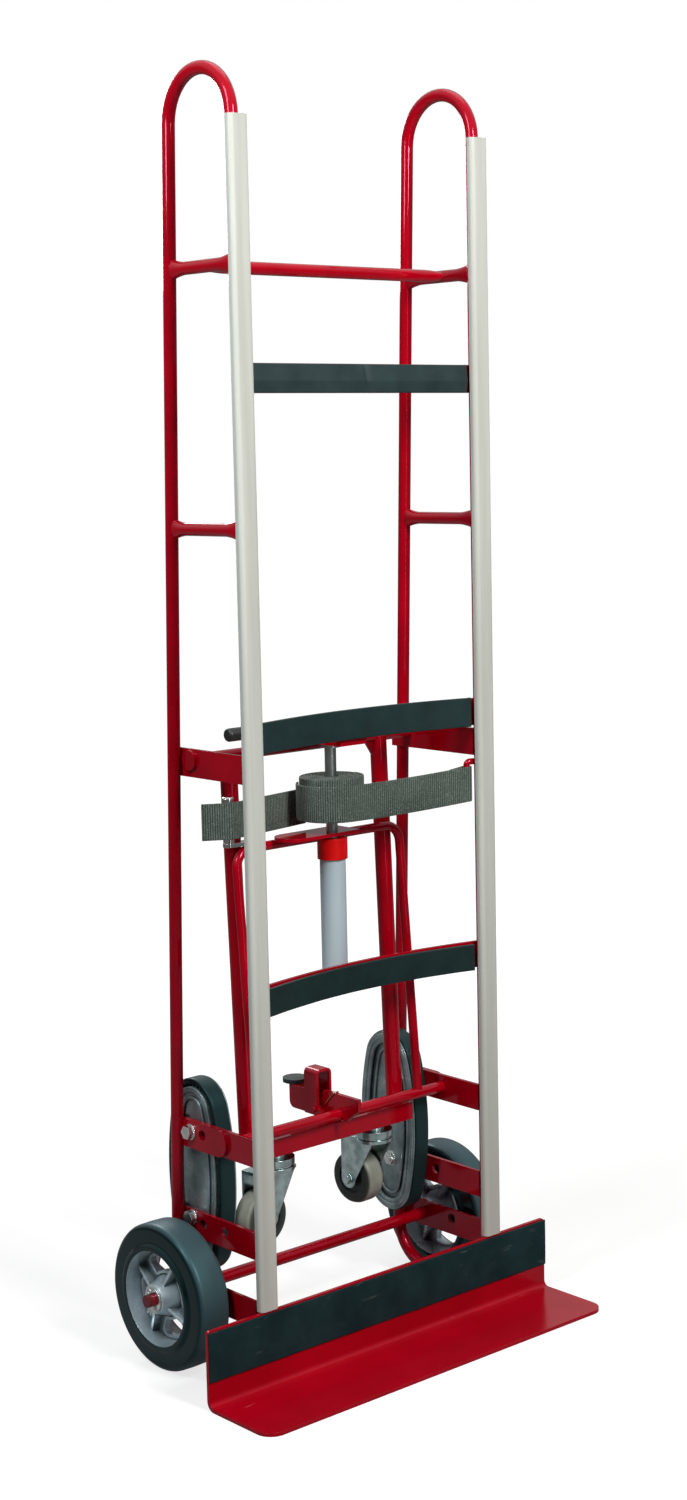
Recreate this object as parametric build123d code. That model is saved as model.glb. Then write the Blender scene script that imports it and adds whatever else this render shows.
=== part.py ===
from build123d import *
import os
from math import asin, atan2, cos, degrees, hypot, pi, radians, sin

os.makedirs("parts", exist_ok=True)

# A stair-climbing appliance hand truck. Sizes are millimetres.
# X runs across, Z is up, and Y runs from the toe (negative) to the rear, from the wheel axle.

# Fits
SEAT_GAP = 0.1      # a plastic or rubber piece on the metal that carries it
WELD_GAP = 0.3      # an end that stops just short of the tube it is welded to
RUN_GAP = 0.06      # radial clearance of a shaft in its bore
MOVE_GAP = 0.4      # between faces that turn past each other

# Side tubes, one bent tube on each side
RAIL_X = 209.0
TUBE_D = 17.5
TUBE_WALL = 2.0
FRONT_Y = -142.0
HANDLE_TOP_Z = 1725.0
LOOP_R = 64.5
REAR_LEAN = 2.09
SKID_R = 62.0
SKID_Z = 23.0

# Toe plate and its rubber facing
TOE_T = 5.0
TOE_HALF_W = 314.0
TOE_FRONT_Y = -277.0
TOE_TOP_Z = 107.5
TOE_BEND_R = 8.0
TOE_CORNER_R = 24.0
FLANGE_CORNER_R = 5.0
TOE_PAD_T = 3.0
TOE_PAD_LOW_Z = 38.0
TOE_PAD_INSET = 0.5
TOE_PAD_DROP = 2.0

# Plastic guards on the front legs
GUARD_W = 30.5
GUARD_FRONT_Y = -158.0
GUARD_BACK_Y = -147.2
GUARD_LOW_Z = 108.5
GUARD_HIGH_Z = 1651.0
GUARD_CORNER_R = 6.5

# Struts between front and rear legs, and the top crossbar
STRUT_D = 17.0
STRUT_HIGH_Z = 1471.0
STRUT_LOW_Z = 1137.0
FLARE_TALL = 29.0
FLARE_THIN = 12.0
FLARE_LENGTH = 27.0
CROSSBAR_Y = -78.0

# Rest bars with rubber pads
BAR_T = 5.0
BAR_H = 38.0
PAD_T = 6.0
PAD_FRONT_Y = -145.0
PAD_HALF_W = 190.0
REST_BOW = 27.0
UPPER_REST_Z = 1328.5
MIDDLE_REST_Z = 867.2
MIDDLE_PAD_H = 40.0
LOWER_REST_Z = 520.0
LOWER_PAD_Z = 518.0

# Flat bars inside the side tubes, and the axle bars outside them
ARM_Z = 826.0
SIDE_BAR_HIGH_Z = 312.0
SIDE_BAR_LOW_Z = 184.0
BAR_PAST_TUBE = 9.0
LAP_REACH = 66.0
BAR_HOLE_D = 14.5
HIGH_HOLE_Y = -14.5
HIGH_HOLE_Z = 316.0
LOW_HOLE_Y = -4.0
LOW_HOLE_PITCH = 47.5
LOW_HOLE_Z = 186.5
AXLE_BAR_T = 4.5
AXLE_HOLE_Y = -60.0
AXLE_HOLE_Z = 107.0

# Axle and main wheels
WHEEL_D = 203.2
AXLE_D = 17.5
AXLE_HALF = 297.0
TYRE_IN_X = 230.0
TYRE_OUT_X = 281.0
TYRE_SHOULDER_R = 18.0
RIM_R = 69.5
RIM_W = 55.0
RIM_LIP = 3.5
RIM_ROOT = 9.0
HUB_IN_X = 222.65
HUB_OUT_X = 284.0
HUB_BOSS_D = 40.0
HUB_BOSS_ROOT_D = 58.0
HUB_WEB_T = 8.0
HUB_SPOKES = 4
HUB_PHASE = 28.0
HUB_WINDOW_IN_R = 34.0
HUB_WINDOW_OUT_R = 56.0
HUB_WINDOW_HALF_ANGLE = 27.0
HUB_WINDOW_CORNER_R = 6.0
HUB_WINDOW_LIP_W = 4.0
HUB_WINDOW_LIP_H = 2.0
HUB_RIB_T = 5.0
HUB_RIB_AT_BOSS = 22.0
HUB_RIB_AT_RIM = 12.5
WASHER_D = 34.0
WASHER_T = 2.5
COTTER_D = 4.0
COTTER_LENGTH = 34.0

# Lower cross tube with the latch arm between its two halves
CROSS_TUBE_D = 16.0
CROSS_TUBE_WALL = 2.0
CROSS_TUBE_Y = -66.0
CROSS_TUBE_Z = 313.5
LATCH_ARM_T = 6.0
LATCH_ARM_FRONT_Y = -107.0
LATCH_ARM_REAR_Y = -19.0
LATCH_ARM_LOW_Z = 306.3
LATCH_ARM_HIGH_Z = 342.0
LATCH_ARM_NOSE_Z = 326.0
LATCH_PIN_Y = -26.0
LATCH_PIN_Z = 315.0
LATCH_PIN_D = 8.0
LATCH_PIN_HALF = 17.0
SPRING_WIRE_D = 2.2
SPRING_REACH = 32.0
SPRING_BEND_R = 2.5

# Latch lever with its foot pad
BAIL_HALF_W = 14.0
BAIL_T = 4.0
BAIL_FRONT_Y = -32.0
BAIL_REAR_Y = -5.0
BAIL_TOP_Z = 372.0
BAIL_LOW_Z = 306.5
BAIL_CORNER_R = 8.0
TOE_HOOK_Y = -44.0
TOE_HOOK_W = 6.0
TOE_HOOK_TOP_Z = 317.0
PEDAL_REAR_Y = 28.0
PEDAL_TOP_Z = 342.0
PEDAL_LOW_Z = 308.0
PEDAL_CORNER_R = 10.0
PEDAL_WALL = 3.0
FOOT_PAD_D = 36.0
FOOT_PAD_T = 6.0
FOOT_PAD_Y = 31.0
BUMPER_D = 10.0
BUMPER_Y = 4.0
BUMPER_Z = 314.0

# Strap spindle, its ratchet and handle
SPINDLE_Y = -61.5
SPINDLE_D = 16.0
SPINDLE_LOW_Z = 690.0
SPINDLE_TOP_Z = 877.5
SHELF_LOW_Z = 838.0
SHELF_T = 5.0
SHELF_HALF_W = 24.0
SHELF_REAR_Y = -44.0
COLLAR_D = 30.0
COLLAR_T = 5.7
RATCHET_TIP_R = 24.0
RATCHET_ROOT_R = 19.5
RATCHET_TEETH = 12
RATCHET_PHASE = 26.7
RATCHET_LOW_Z = 844.0
RATCHET_T = 8.0
PAWL_PIVOT_R = 36.0
PAWL_NOSE_R = 26.3
PAWL_NOSE_LAG = 30.0
PAWL_EYE_D = 12.0
PAWL_TIP_D = 3.2
PAWL_PIN_D = 6.0
PAWL_HEAD_D = 10.0
PAWL_HEAD_T = 1.3
DRIVE_PAWL_ANGLE = 180.0
HOLDING_PAWL_ANGLE = 300.0
HANDLE_HUB_D = 40.0
HANDLE_LOW_Z = 853.3
HANDLE_TOP_FACE_Z = 869.5
HANDLE_ARM_T = 6.0
HANDLE_ARM_W = 12.0
HANDLE_ARM_LOW_Z = 862.5
HANDLE_END_X = -174.0
GRIP_D = 18.0
GRIP_START_X = -95.0
GRIP_END_X = -180.0
TOP_NUT_W = 24.0
TOP_NUT_T = 7.0

# Recoil tube below the spindle
RECOIL_D = 36.0
RECOIL_WALL = 3.0
RECOIL_LOW_Z = 505.0
RECOIL_TOP_Z = 690.0
RECOIL_SHELF_T = 4.0
RECOIL_SHELF_HALF_W = 26.0
RECOIL_SHELF_REAR_Y = -40.0
CAP_D = 42.0
CAP_LOW_Z = 677.0
CAP_TOP_Z = 706.0
CAP_BORE_D = 20.0

# Hoop that carries the lower end of the spindle
HOOP_D = 13.0
HOOP_HALF_W = 149.0
HOOP_TOP_Y = -34.0
HOOP_TOP_Z = 703.5
HOOP_BEND_R = 25.0
BEARING_PLATE_T = 5.0
BEARING_PLATE_LEFT_X = -90.0
BEARING_PLATE_RIGHT_X = 36.0
BEARING_PLATE_FRONT_Y = -80.0
BEARING_PLATE_REAR_Y = -29.0

# Webbing strap, its roll, and the posts that guide it
STRAP_W = 50.0
STRAP_T = 2.4
ROLL_LOW_Z = 742.0
ROLL_PITCH = 3.2
ROLL_HALF_TURNS = 22
RIGHT_WRAP_LOW_Z = 733.0
RIGHT_WRAP_START = 125.0
RIGHT_LEG_LOW_Z = 741.5
LEFT_LEG_LOW_Z = 721.5
LEG_GAP = 0.8
ANCHOR_X = 189.0
ANCHOR_Y = -135.0
ANCHOR_D = 9.0
ANCHOR_LOW_Z = 743.0
ANCHOR_HIGH_Z = 802.0
ANCHOR_BEND_R = 5.0
FOLD_TURN = 186.0
FOLD_LENGTH = 26.0
GUIDE_X = -160.0
GUIDE_Y = -34.0
GUIDE_PIN_D = 10.0
GUIDE_ROLLER_D = 15.0
GUIDE_LOW_Z = 715.0
GUIDE_HIGH_Z = 774.0
GUIDE_CAP_D = 17.0
GUIDE_CAP_T = 4.0
GUIDE_TAB_T = 5.0
GUIDE_TAB_HALF_W = 8.0
GUIDE_TAB_REACH = 40.0
GUIDE_WRAP = 41.0
TAIL_LENGTH = 37.0

# Swing-down caster carriage
PIVOT_Y = -8.0
PIVOT_Z = 830.0
PIVOT_PIN_D = 10.0
PIVOT_PIN_IN_X = 172.0
PIVOT_BOSS_D = 28.0
PIVOT_BOSS_T = 4.5
HEAD_TUBE_D = 16.0
LEG_D = 24.0
LEG_WALL = 2.0
LEG_X = 137.0
LEG_FOOT_Y = -29.0
GUSSET_T = 4.0
GUSSET_W = 16.0
GUSSET_H = 32.0
CHANNEL_HALF_W = 148.0
CHANNEL_FRONT_Y = -55.0
CHANNEL_REAR_Y = -9.0
CHANNEL_LOW_Z = 273.0
CHANNEL_TOP_Z = 298.0
CHANNEL_T = 4.0
STRIKER_Y = -50.0
STRIKER_T = 4.5
STRIKER_HALF_W = 16.0
STRIKER_TOP_Z = 305.5

# Casters
SWIVEL_X = 92.0
HEAD_PLATE_T = 4.0
HEAD_PLATE_L = 66.0
HEAD_PLATE_W = 36.0
HEAD_NECK_D = 30.0
HEAD_RING_D = 54.0
HEAD_RING_LOW_Z = 254.0
HEAD_RING_H = 12.0
HEAD_WAIST_D = 50.0
HEAD_WAIST_H = 3.0
KINGPIN_D = 12.0
KINGPIN_HEAD_D = 20.0
KINGPIN_HEAD_T = 4.0
CROWN_D = 54.0
CROWN_T = 5.0
CROWN_FRONT = 20.0
CASTER_TRAIL = 33.0
CASTER_AXLE_Z = 188.5
CASTER_D = 76.0
CASTER_W = 32.0
CASTER_TREAD_T = 9.0
CASTER_SHOULDER_R = 4.0
CASTER_HUB_FACE_D = 46.0
CASTER_HUB_RECESS = 4.0
CASTER_BOSS_D = 20.0
CASTER_BOLT_D = 8.0
CASTER_NUT_W = 13.0
CASTER_NUT_T = 6.0
FORK_GAP = 1.6
FORK_T = 3.0
FORK_TIP_D = 28.0
CASTER_TURNS = {"right": 3.0, "left": 98.0}

# Stair crawlers
CRAWLER_X = 181.5
CRAWLER_Y = 19.5
CRAWLER_HALF_DEPTH = 59.0
CRAWLER_END_R = 47.0
CRAWLER_LOW_Z = 113.5
CRAWLER_HIGH_Z = 386.5
BELT_W = 26.0
BELT_T = 7.0
LUG_H = 3.2
LUG_W = 4.0
LUG_PITCH = 10.0
CASTING_INSET = 11.5
CASTING_W = 22.0
CASTING_RIDGE_H = 2.0
CASTING_FLANGE_INSET = 2.0
CASTING_FLANGE_T = 2.0
OUTER_RIDGE_W = 7.0
INNER_RIDGE_INSET = 25.0
INNER_RIDGE_W = 4.0
PULLEY_W = 12.0
PULLEY_PIN_D = 12.0
PULLEY_RIM_T = 7.0
PULLEY_DISH = 3.0
PULLEY_BOSS_D = 26.0
CRAWLER_BOLT_HIGH = (10.0, 316.5)
CRAWLER_BOLT_LOW = (18.0, 193.0)
CRAWLER_BOLT_D = 10.0
CRAWLER_BOLT_BITE = 3.5
CRAWLER_BOSS_D = 22.0
BOLT_HEAD_W = 17.0
BOLT_HEAD_T = 8.0
BOLT_WASHER_D = 22.0
BOLT_WASHER_T = 2.0
STUD_WASHER_T = 1.2
STUD_NUT_T = 5.0
STUD_PAST_NUT = 0.5

# Sizes that follow from the ones above
AXLE_Z = WHEEL_D / 2
ORIGIN_SHIFT = (-TOE_FRONT_Y - WHEEL_D / 2) / 2
TUBE_IN_X = RAIL_X - TUBE_D / 2
TUBE_OUT_X = RAIL_X + TUBE_D / 2
BAR_IN_X = TUBE_IN_X - BAR_T
LOOP_Z = HANDLE_TOP_Z - TUBE_D / 2 - LOOP_R
SHELF_TOP_Z = SHELF_LOW_Z + SHELF_T
ROLL_IN_R = SPINDLE_D / 2 + WELD_GAP + STRAP_T / 2 + ROLL_PITCH / 4
ROLL_OUT_R = ROLL_IN_R + ROLL_HALF_TURNS * ROLL_PITCH / 2
CRAWLER_MID_Z = (CRAWLER_HIGH_Z + CRAWLER_LOW_Z) / 2
CRAWLER_END = (CRAWLER_HIGH_Z - CRAWLER_LOW_Z) / 2 - CRAWLER_END_R
CRAWLER_BULGE = CRAWLER_HALF_DEPTH - CRAWLER_END_R
CRAWLER_SIDE_R = (CRAWLER_END**2 + CRAWLER_HALF_DEPTH**2 - CRAWLER_END_R**2) / (2 * CRAWLER_BULGE)
PULLEY_R = CRAWLER_END_R - BELT_T - LUG_H - MOVE_GAP
CROWN_REAR = CASTER_TRAIL + FORK_TIP_D / 2
SWIVEL_Y = (CHANNEL_FRONT_Y + CHANNEL_REAR_Y) / 2
CROWN_TOP_Z = HEAD_RING_LOW_Z - MOVE_GAP
CROWN_LOW_Z = CROWN_TOP_Z - CROWN_T


def block(x, y, z):
    """Square-edged bar between two limits on each axis."""
    limits = (x, y, z)
    middle = [(low + high) / 2 for low, high in limits]
    return Pos(*middle) * Box(*[high - low for low, high in limits])


def slab(outline, x_low, x_high):
    """A (Y, Z) outline carried across from x_low to x_high."""
    return extrude(Plane.YZ.offset(x_low) * outline, amount=x_high - x_low)


def layer(outline, z_low, z_high):
    """An (X, Y) outline raised from z_low to z_high."""
    return extrude(Plane.XY.offset(z_low) * outline, amount=z_high - z_low)


def rod(start, end, diameter):
    """Round bar from one point to another."""
    along = Vector(*end) - Vector(*start)
    stock = Cylinder(diameter / 2, along.length, align=(Align.CENTER, Align.CENTER, Align.MIN))
    return Plane(origin=start, z_dir=along) * stock


def swept(outline, path):
    """An outline drawn square to the start of a path, carried along it."""
    return sweep(Plane(origin=path @ 0, z_dir=path % 0) * outline, path=path)


def disc(diameter, at=(0, 0)):
    """Round outline about a point."""
    return Pos(*at) * Circle(diameter / 2)


def hexagon(across_flats, at=(0, 0)):
    """Nut or bolt-head outline about a point."""
    return Pos(*at) * RegularPolygon(across_flats / 2, 6, major_radius=False)


def mirrored(shape):
    """The same piece on the other side of the truck."""
    return mirror(shape, about=Plane.YZ)


def save(node, *shapes):
    """Write one node, moved so that the middle of the foot of the truck is the origin."""
    solids = [Pos(0, ORIGIN_SHIFT, 0) * solid for shape in shapes for solid in shape.solids()]
    whole = solids[0] if len(solids) == 1 else Compound(children=solids)
    export_step(whole, f"parts/{node}.step")


def save_pair(name, right):
    """Write a right-hand piece and its mirror image as two nodes."""
    save(f"{name}_right", right)
    save(f"{name}_left", mirrored(right))


def rear_y(z):
    """Middle of the leaning rear leg at a height."""
    lean = radians(REAR_LEAN)
    top_y = FRONT_Y + LOOP_R + LOOP_R * cos(lean)
    top_z = LOOP_Z + LOOP_R * sin(lean)
    return top_y + (top_z - z) * (sin(lean) / cos(lean))


# Side tubes: front leg, hand loop, leaning rear leg, and a skid bent forward to the front leg
def side_tube_path():
    """Middle line of a side tube at the middle of the truck."""
    lean = radians(REAR_LEAN)
    front_leg = Line((FRONT_Y, TOE_T + WELD_GAP), (FRONT_Y, LOOP_Z))
    loop = JernArc(front_leg @ 1, (0, 1), LOOP_R, REAR_LEAN - 180)
    skid_start_z = SKID_Z + SKID_R * (1 + sin(lean))
    rear_leg = Line(loop @ 1, (rear_y(skid_start_z), skid_start_z))
    skid = JernArc(rear_leg @ 1, rear_leg % 1, SKID_R, -90 - REAR_LEAN)
    foot = Line(skid @ 1, (FRONT_Y + TUBE_D / 2 + WELD_GAP, SKID_Z))
    return Plane.YZ * Wire([front_leg, loop, rear_leg, skid, foot])


tube_path = side_tube_path()
side_tube = swept(disc(TUBE_D) - disc(TUBE_D - 2 * TUBE_WALL), tube_path)
tube_core = swept(disc(TUBE_D), tube_path)
save_pair("side_tube", Pos(RAIL_X, 0, 0) * side_tube)


# Toe plate: one sheet bent up against the front legs, and the rubber strip on its flange
def toe_profile():
    """Bent sheet seen from the side."""
    back_y = FRONT_Y - TUBE_D / 2
    face_y = back_y - TOE_T
    outer_r = TOE_BEND_R + TOE_T
    bend_y = back_y - outer_r
    under = Line((TOE_FRONT_Y, 0), (bend_y, 0))
    outer = JernArc(under @ 1, (1, 0), outer_r, 90)
    back = Line(outer @ 1, (back_y, TOE_TOP_Z))
    top = Line(back @ 1, (face_y, TOE_TOP_Z))
    face = Line(top @ 1, (face_y, outer_r))
    inner = JernArc(face @ 1, (0, -1), TOE_BEND_R, -90)
    upper = Line(inner @ 1, (TOE_FRONT_Y, TOE_T))
    nose = Line(upper @ 1, under @ 0)
    return make_face([under, outer, back, top, face, inner, upper, nose])


toe_plate = slab(toe_profile(), -TOE_HALF_W, TOE_HALF_W)
toe_corners = toe_plate.edges().filter_by(Axis.Z).group_by(Axis.Y)[0]
toe_plate = fillet(toe_corners, TOE_CORNER_R)
flange_corners = toe_plate.edges().filter_by(Axis.Y).group_by(Axis.Z)[-1]
toe_plate = fillet(flange_corners.sort_by(Axis.X), FLANGE_CORNER_R)
save("toe_plate", toe_plate)

flange_face_y = FRONT_Y - TUBE_D / 2 - TOE_T
toe_pad_x = TOE_HALF_W - TOE_PAD_INSET
toe_pad = block(
    (-toe_pad_x, toe_pad_x),
    (flange_face_y - SEAT_GAP - TOE_PAD_T, flange_face_y - SEAT_GAP),
    (TOE_PAD_LOW_Z, TOE_TOP_Z - TOE_PAD_DROP),
)
save("toe_pad", toe_pad)

# Guards: a grooved plastic extrusion pushed onto each front leg
guard_depth = GUARD_BACK_Y - GUARD_FRONT_Y
guard_outline = Pos(RAIL_X, GUARD_FRONT_Y + guard_depth / 2) * Rectangle(GUARD_W, guard_depth)
guard_outline = fillet(guard_outline.vertices().group_by(Axis.Y)[0], GUARD_CORNER_R)
guard_outline -= disc(TUBE_D + 2 * SEAT_GAP, (RAIL_X, FRONT_Y))
guard = layer(guard_outline, GUARD_LOW_Z, GUARD_HIGH_Z)
save("rail_guards", guard, mirrored(guard))


# Struts and crossbar: round tubes whose ends are pressed flat into a fan, coped to what they meet
def pressed_end():
    """One end of a strut along Y from zero: a flat fan that runs out into the round tube."""
    round_part = disc(STRUT_D)
    halfway = Ellipse((STRUT_D * 2 + FLARE_THIN) / 6, (STRUT_D * 2 + FLARE_TALL) / 6)
    fan = Ellipse(FLARE_THIN / 2, FLARE_TALL / 2)
    across = Plane.XZ
    sections = [
        across * fan,
        across.offset(-FLARE_LENGTH / 2) * halfway,
        across.offset(-FLARE_LENGTH) * round_part,
    ]
    return loft(sections)


def pressed_bar(length):
    """Round bar along Y from zero with a tall fan at both ends."""
    end = pressed_end()
    middle = rod((0, FLARE_LENGTH, 0), (0, length - FLARE_LENGTH, 0), STRUT_D)
    return end + middle + Pos(0, length, 0) * mirror(end, about=Plane.XZ)


struts = []
for strut_z in (STRUT_HIGH_Z, STRUT_LOW_Z):
    first_y = FRONT_Y + TUBE_D / 4
    last_y = rear_y(strut_z) - TUBE_D / 4
    strut = Pos(0, first_y, strut_z) * pressed_bar(last_y - first_y) - tube_core
    struts += [Pos(RAIL_X, 0, 0) * strut, Pos(-RAIL_X, 0, 0) * strut]
save("side_struts", *struts)

crossbar_half = RAIL_X - STRUT_D / 4
flat_fans = Rot(0, 90, 0) * pressed_bar(2 * crossbar_half)
crossbar = Pos(crossbar_half, CROSSBAR_Y, STRUT_HIGH_Z) * Rot(0, 0, 90) * flat_fans
for side in (-RAIL_X, RAIL_X):
    crossbar -= rod((side, FRONT_Y, STRUT_HIGH_Z), (side, 0, STRUT_HIGH_Z), STRUT_D)
save("top_crossbar", crossbar)


# Rest bars: flat bars coped to the front legs, each with a rubber pad; two are bowed to the rear
def bowed_strip(front_y, thickness, half_width, bow):
    """Strip seen from above, its middle set back by the bow."""
    back_y = front_y + thickness
    front = ThreePointArc((-half_width, front_y), (0, front_y + bow), (half_width, front_y))
    back = ThreePointArc((half_width, back_y), (0, back_y + bow), (-half_width, back_y))
    return make_face([front, Line(front @ 1, back @ 0), back, Line(back @ 1, front @ 0)])


def straight_strip(front_y, thickness, half_width):
    """Strip seen from above, straight from end to end."""
    return Pos(0, front_y + thickness / 2) * Rectangle(2 * half_width, thickness)


def coped_bar(outline, middle_z, height):
    """Rest bar with both ends cut to the round of the front legs."""
    low_z = middle_z - height / 2
    high_z = middle_z + height / 2
    bar = layer(outline, low_z, high_z)
    for leg_x in (-RAIL_X, RAIL_X):
        bar -= rod((leg_x, FRONT_Y, low_z), (leg_x, FRONT_Y, high_z), TUBE_D)
    return bar


bar_front_y = PAD_FRONT_Y + PAD_T + SEAT_GAP
bar_back_y = bar_front_y + BAR_T + REST_BOW
straight_pad = straight_strip(PAD_FRONT_Y, PAD_T, PAD_HALF_W)
bowed_pad = bowed_strip(PAD_FRONT_Y, PAD_T, PAD_HALF_W, REST_BOW)
bowed_bar = bowed_strip(bar_front_y, BAR_T, RAIL_X, REST_BOW)

save("upper_rest_bar", coped_bar(straight_strip(bar_front_y, BAR_T, RAIL_X), UPPER_REST_Z, BAR_H))
save("upper_rest_pad", layer(straight_pad, UPPER_REST_Z - BAR_H / 2, UPPER_REST_Z + BAR_H / 2))

# The middle bar also carries the ratchet shelf, its bearing hole and the holding pawl's pin
holding_pin_at = (
    PAWL_PIVOT_R * cos(radians(HOLDING_PAWL_ANGLE)),
    SPINDLE_Y + PAWL_PIVOT_R * sin(radians(HOLDING_PAWL_ANGLE)),
)
shelf_x = (-SHELF_HALF_W, SHELF_HALF_W)
shelf_tab_y = (bar_back_y - BAR_T / 2, bar_back_y + BAR_T)
middle_bar = coped_bar(bowed_bar, MIDDLE_REST_Z, BAR_H)
middle_bar += block(shelf_x, shelf_tab_y, (SHELF_LOW_Z, MIDDLE_REST_Z + BAR_H / 4))
middle_bar += block(shelf_x, (shelf_tab_y[0], SHELF_REAR_Y), (SHELF_LOW_Z, SHELF_TOP_Z))
middle_bar -= rod((0, SPINDLE_Y, SHELF_LOW_Z), (0, SPINDLE_Y, SHELF_TOP_Z), SPINDLE_D + 2 * RUN_GAP)
pawl_top_z = RATCHET_LOW_Z + RATCHET_T
middle_bar += layer(disc(PAWL_PIN_D, holding_pin_at), SHELF_TOP_Z, pawl_top_z + MOVE_GAP + PAWL_HEAD_T)
middle_bar += layer(
    disc(PAWL_HEAD_D, holding_pin_at), pawl_top_z + MOVE_GAP, pawl_top_z + MOVE_GAP + PAWL_HEAD_T
)
save("middle_rest_bar", middle_bar)
save("middle_rest_pad", layer(bowed_pad, MIDDLE_REST_Z - MIDDLE_PAD_H / 2, MIDDLE_REST_Z + MIDDLE_PAD_H / 2))

# The lower bar also carries the shelf under the recoil tube
lower_bar = coped_bar(bowed_bar, LOWER_REST_Z, BAR_H)
lower_bar += block(
    (-RECOIL_SHELF_HALF_W, RECOIL_SHELF_HALF_W),
    (bar_back_y - BAR_T / 2, RECOIL_SHELF_REAR_Y),
    (RECOIL_LOW_Z - RECOIL_SHELF_T, RECOIL_LOW_Z),
)
save("lower_rest_bar", lower_bar)
save("lower_rest_pad", layer(bowed_pad, LOWER_PAD_Z - BAR_H / 2, LOWER_PAD_Z + BAR_H / 2))


# Flat bars welded inside the side tubes
def flat_bar(middle_z):
    """Right-hand flat bar from the front leg to just past the rear leg."""
    end_y = rear_y(middle_z) + BAR_PAST_TUBE
    return block((BAR_IN_X, TUBE_IN_X), (FRONT_Y, end_y), (middle_z - BAR_H / 2, middle_z + BAR_H / 2))


def cross_hole(y, z, diameter):
    """Drill through the right-hand side of the frame."""
    return rod((0, y, z), (AXLE_HALF, y, z), diameter)


# Middle arms: the bars that carry the pivot of the caster carriage
arm = flat_bar(ARM_Z)
arm += slab(disc(PIVOT_BOSS_D, (PIVOT_Y, PIVOT_Z)), TUBE_IN_X, TUBE_IN_X + PIVOT_BOSS_T)
arm += slab(disc(PIVOT_PIN_D, (PIVOT_Y, PIVOT_Z)), PIVOT_PIN_IN_X, BAR_IN_X)
save("middle_arms", arm, mirrored(arm))

# Side bars: the bars that carry the crawlers, the upper one doubled by a lap plate
high_bar = flat_bar(SIDE_BAR_HIGH_Z)
low_bar = flat_bar(SIDE_BAR_LOW_Z)
high_end_y = rear_y(SIDE_BAR_HIGH_Z) - TUBE_D / 2 - WELD_GAP
lap_round_y = BAR_H / 2 - LAP_REACH
lap_length = high_end_y - lap_round_y
lap_outline = Pos(lap_round_y + lap_length / 2, SIDE_BAR_HIGH_Z) * Rectangle(lap_length, BAR_H)
lap_outline += disc(BAR_H, (lap_round_y, SIDE_BAR_HIGH_Z))
high_bar += slab(lap_outline, TUBE_IN_X, TUBE_IN_X + BAR_T)
high_bar -= cross_hole(HIGH_HOLE_Y, HIGH_HOLE_Z, BAR_HOLE_D)
high_bar -= cross_hole(*CRAWLER_BOLT_HIGH, CRAWLER_BOLT_D + 2 * RUN_GAP)
for hole_y in (LOW_HOLE_Y, LOW_HOLE_Y - LOW_HOLE_PITCH):
    low_bar -= cross_hole(hole_y, LOW_HOLE_Z, BAR_HOLE_D)
low_bar -= cross_hole(*CRAWLER_BOLT_LOW, CRAWLER_BOLT_D + 2 * RUN_GAP)

# Axle bars outside the side tubes, and the axle rod through them
axle_bar = block(
    (TUBE_OUT_X, TUBE_OUT_X + AXLE_BAR_T),
    (FRONT_Y, rear_y(AXLE_Z)),
    (AXLE_Z - BAR_H / 2, AXLE_Z + BAR_H / 2),
)
axle_bar -= cross_hole(0, AXLE_Z, AXLE_D)
axle_bar -= cross_hole(AXLE_HOLE_Y, AXLE_HOLE_Z, BAR_HOLE_D)
right_bars = (high_bar, low_bar, axle_bar)
save("side_bars", *right_bars, *[mirrored(bar) for bar in right_bars])
cotter_x = (HUB_OUT_X + MOVE_GAP + WASHER_T + AXLE_HALF) / 2
axle = rod((-AXLE_HALF, 0, AXLE_Z), (AXLE_HALF, 0, AXLE_Z), AXLE_D)
for side in (-cotter_x, cotter_x):
    axle -= rod((side, 0, 0), (side, 0, WHEEL_D), COTTER_D + 2 * RUN_GAP)
save("axle", axle)
washer_x = HUB_OUT_X + MOVE_GAP
washer_ring = disc(WASHER_D, (0, AXLE_Z)) - disc(AXLE_D + 2 * RUN_GAP, (0, AXLE_Z))
washer = slab(washer_ring, washer_x, washer_x + WASHER_T)
cotter = rod((cotter_x, 0, AXLE_Z - COTTER_LENGTH / 2), (cotter_x, 0, AXLE_Z + COTTER_LENGTH / 2), COTTER_D)
save("axle_keepers", washer, cotter, mirrored(washer), mirrored(cotter))


# Main wheels: a solid rubber tyre on a cast hub with windows between spokes of two ribs each
def turned(outline):
    """Outline with X along the axle and Y as the radius, turned about the axle."""
    return revolve(outline, axis=Axis.X)


def ring_outline(x_low, x_high, r_low, r_high):
    """Half section of a ring about the axle."""
    return Pos((x_low + x_high) / 2, (r_low + r_high) / 2) * Rectangle(x_high - x_low, r_high - r_low)


def sector(r_low, r_high, half_angle):
    """Window between two radii, centred on the first axis."""
    inner = CenterArc((0, 0), r_low, -half_angle, 2 * half_angle)
    outer = CenterArc((0, 0), r_high, -half_angle, 2 * half_angle)
    return make_face([inner, Line(inner @ 1, outer @ 1), outer, Line(outer @ 0, inner @ 0)])


tyre_outline = ring_outline(TYRE_IN_X, TYRE_OUT_X, RIM_R + SEAT_GAP, WHEEL_D / 2)
tyre_outline = fillet(tyre_outline.vertices().group_by(Axis.Y)[-1], TYRE_SHOULDER_R)
save_pair("wheel_tyre", Pos(0, 0, AXLE_Z) * turned(tyre_outline))

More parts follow.
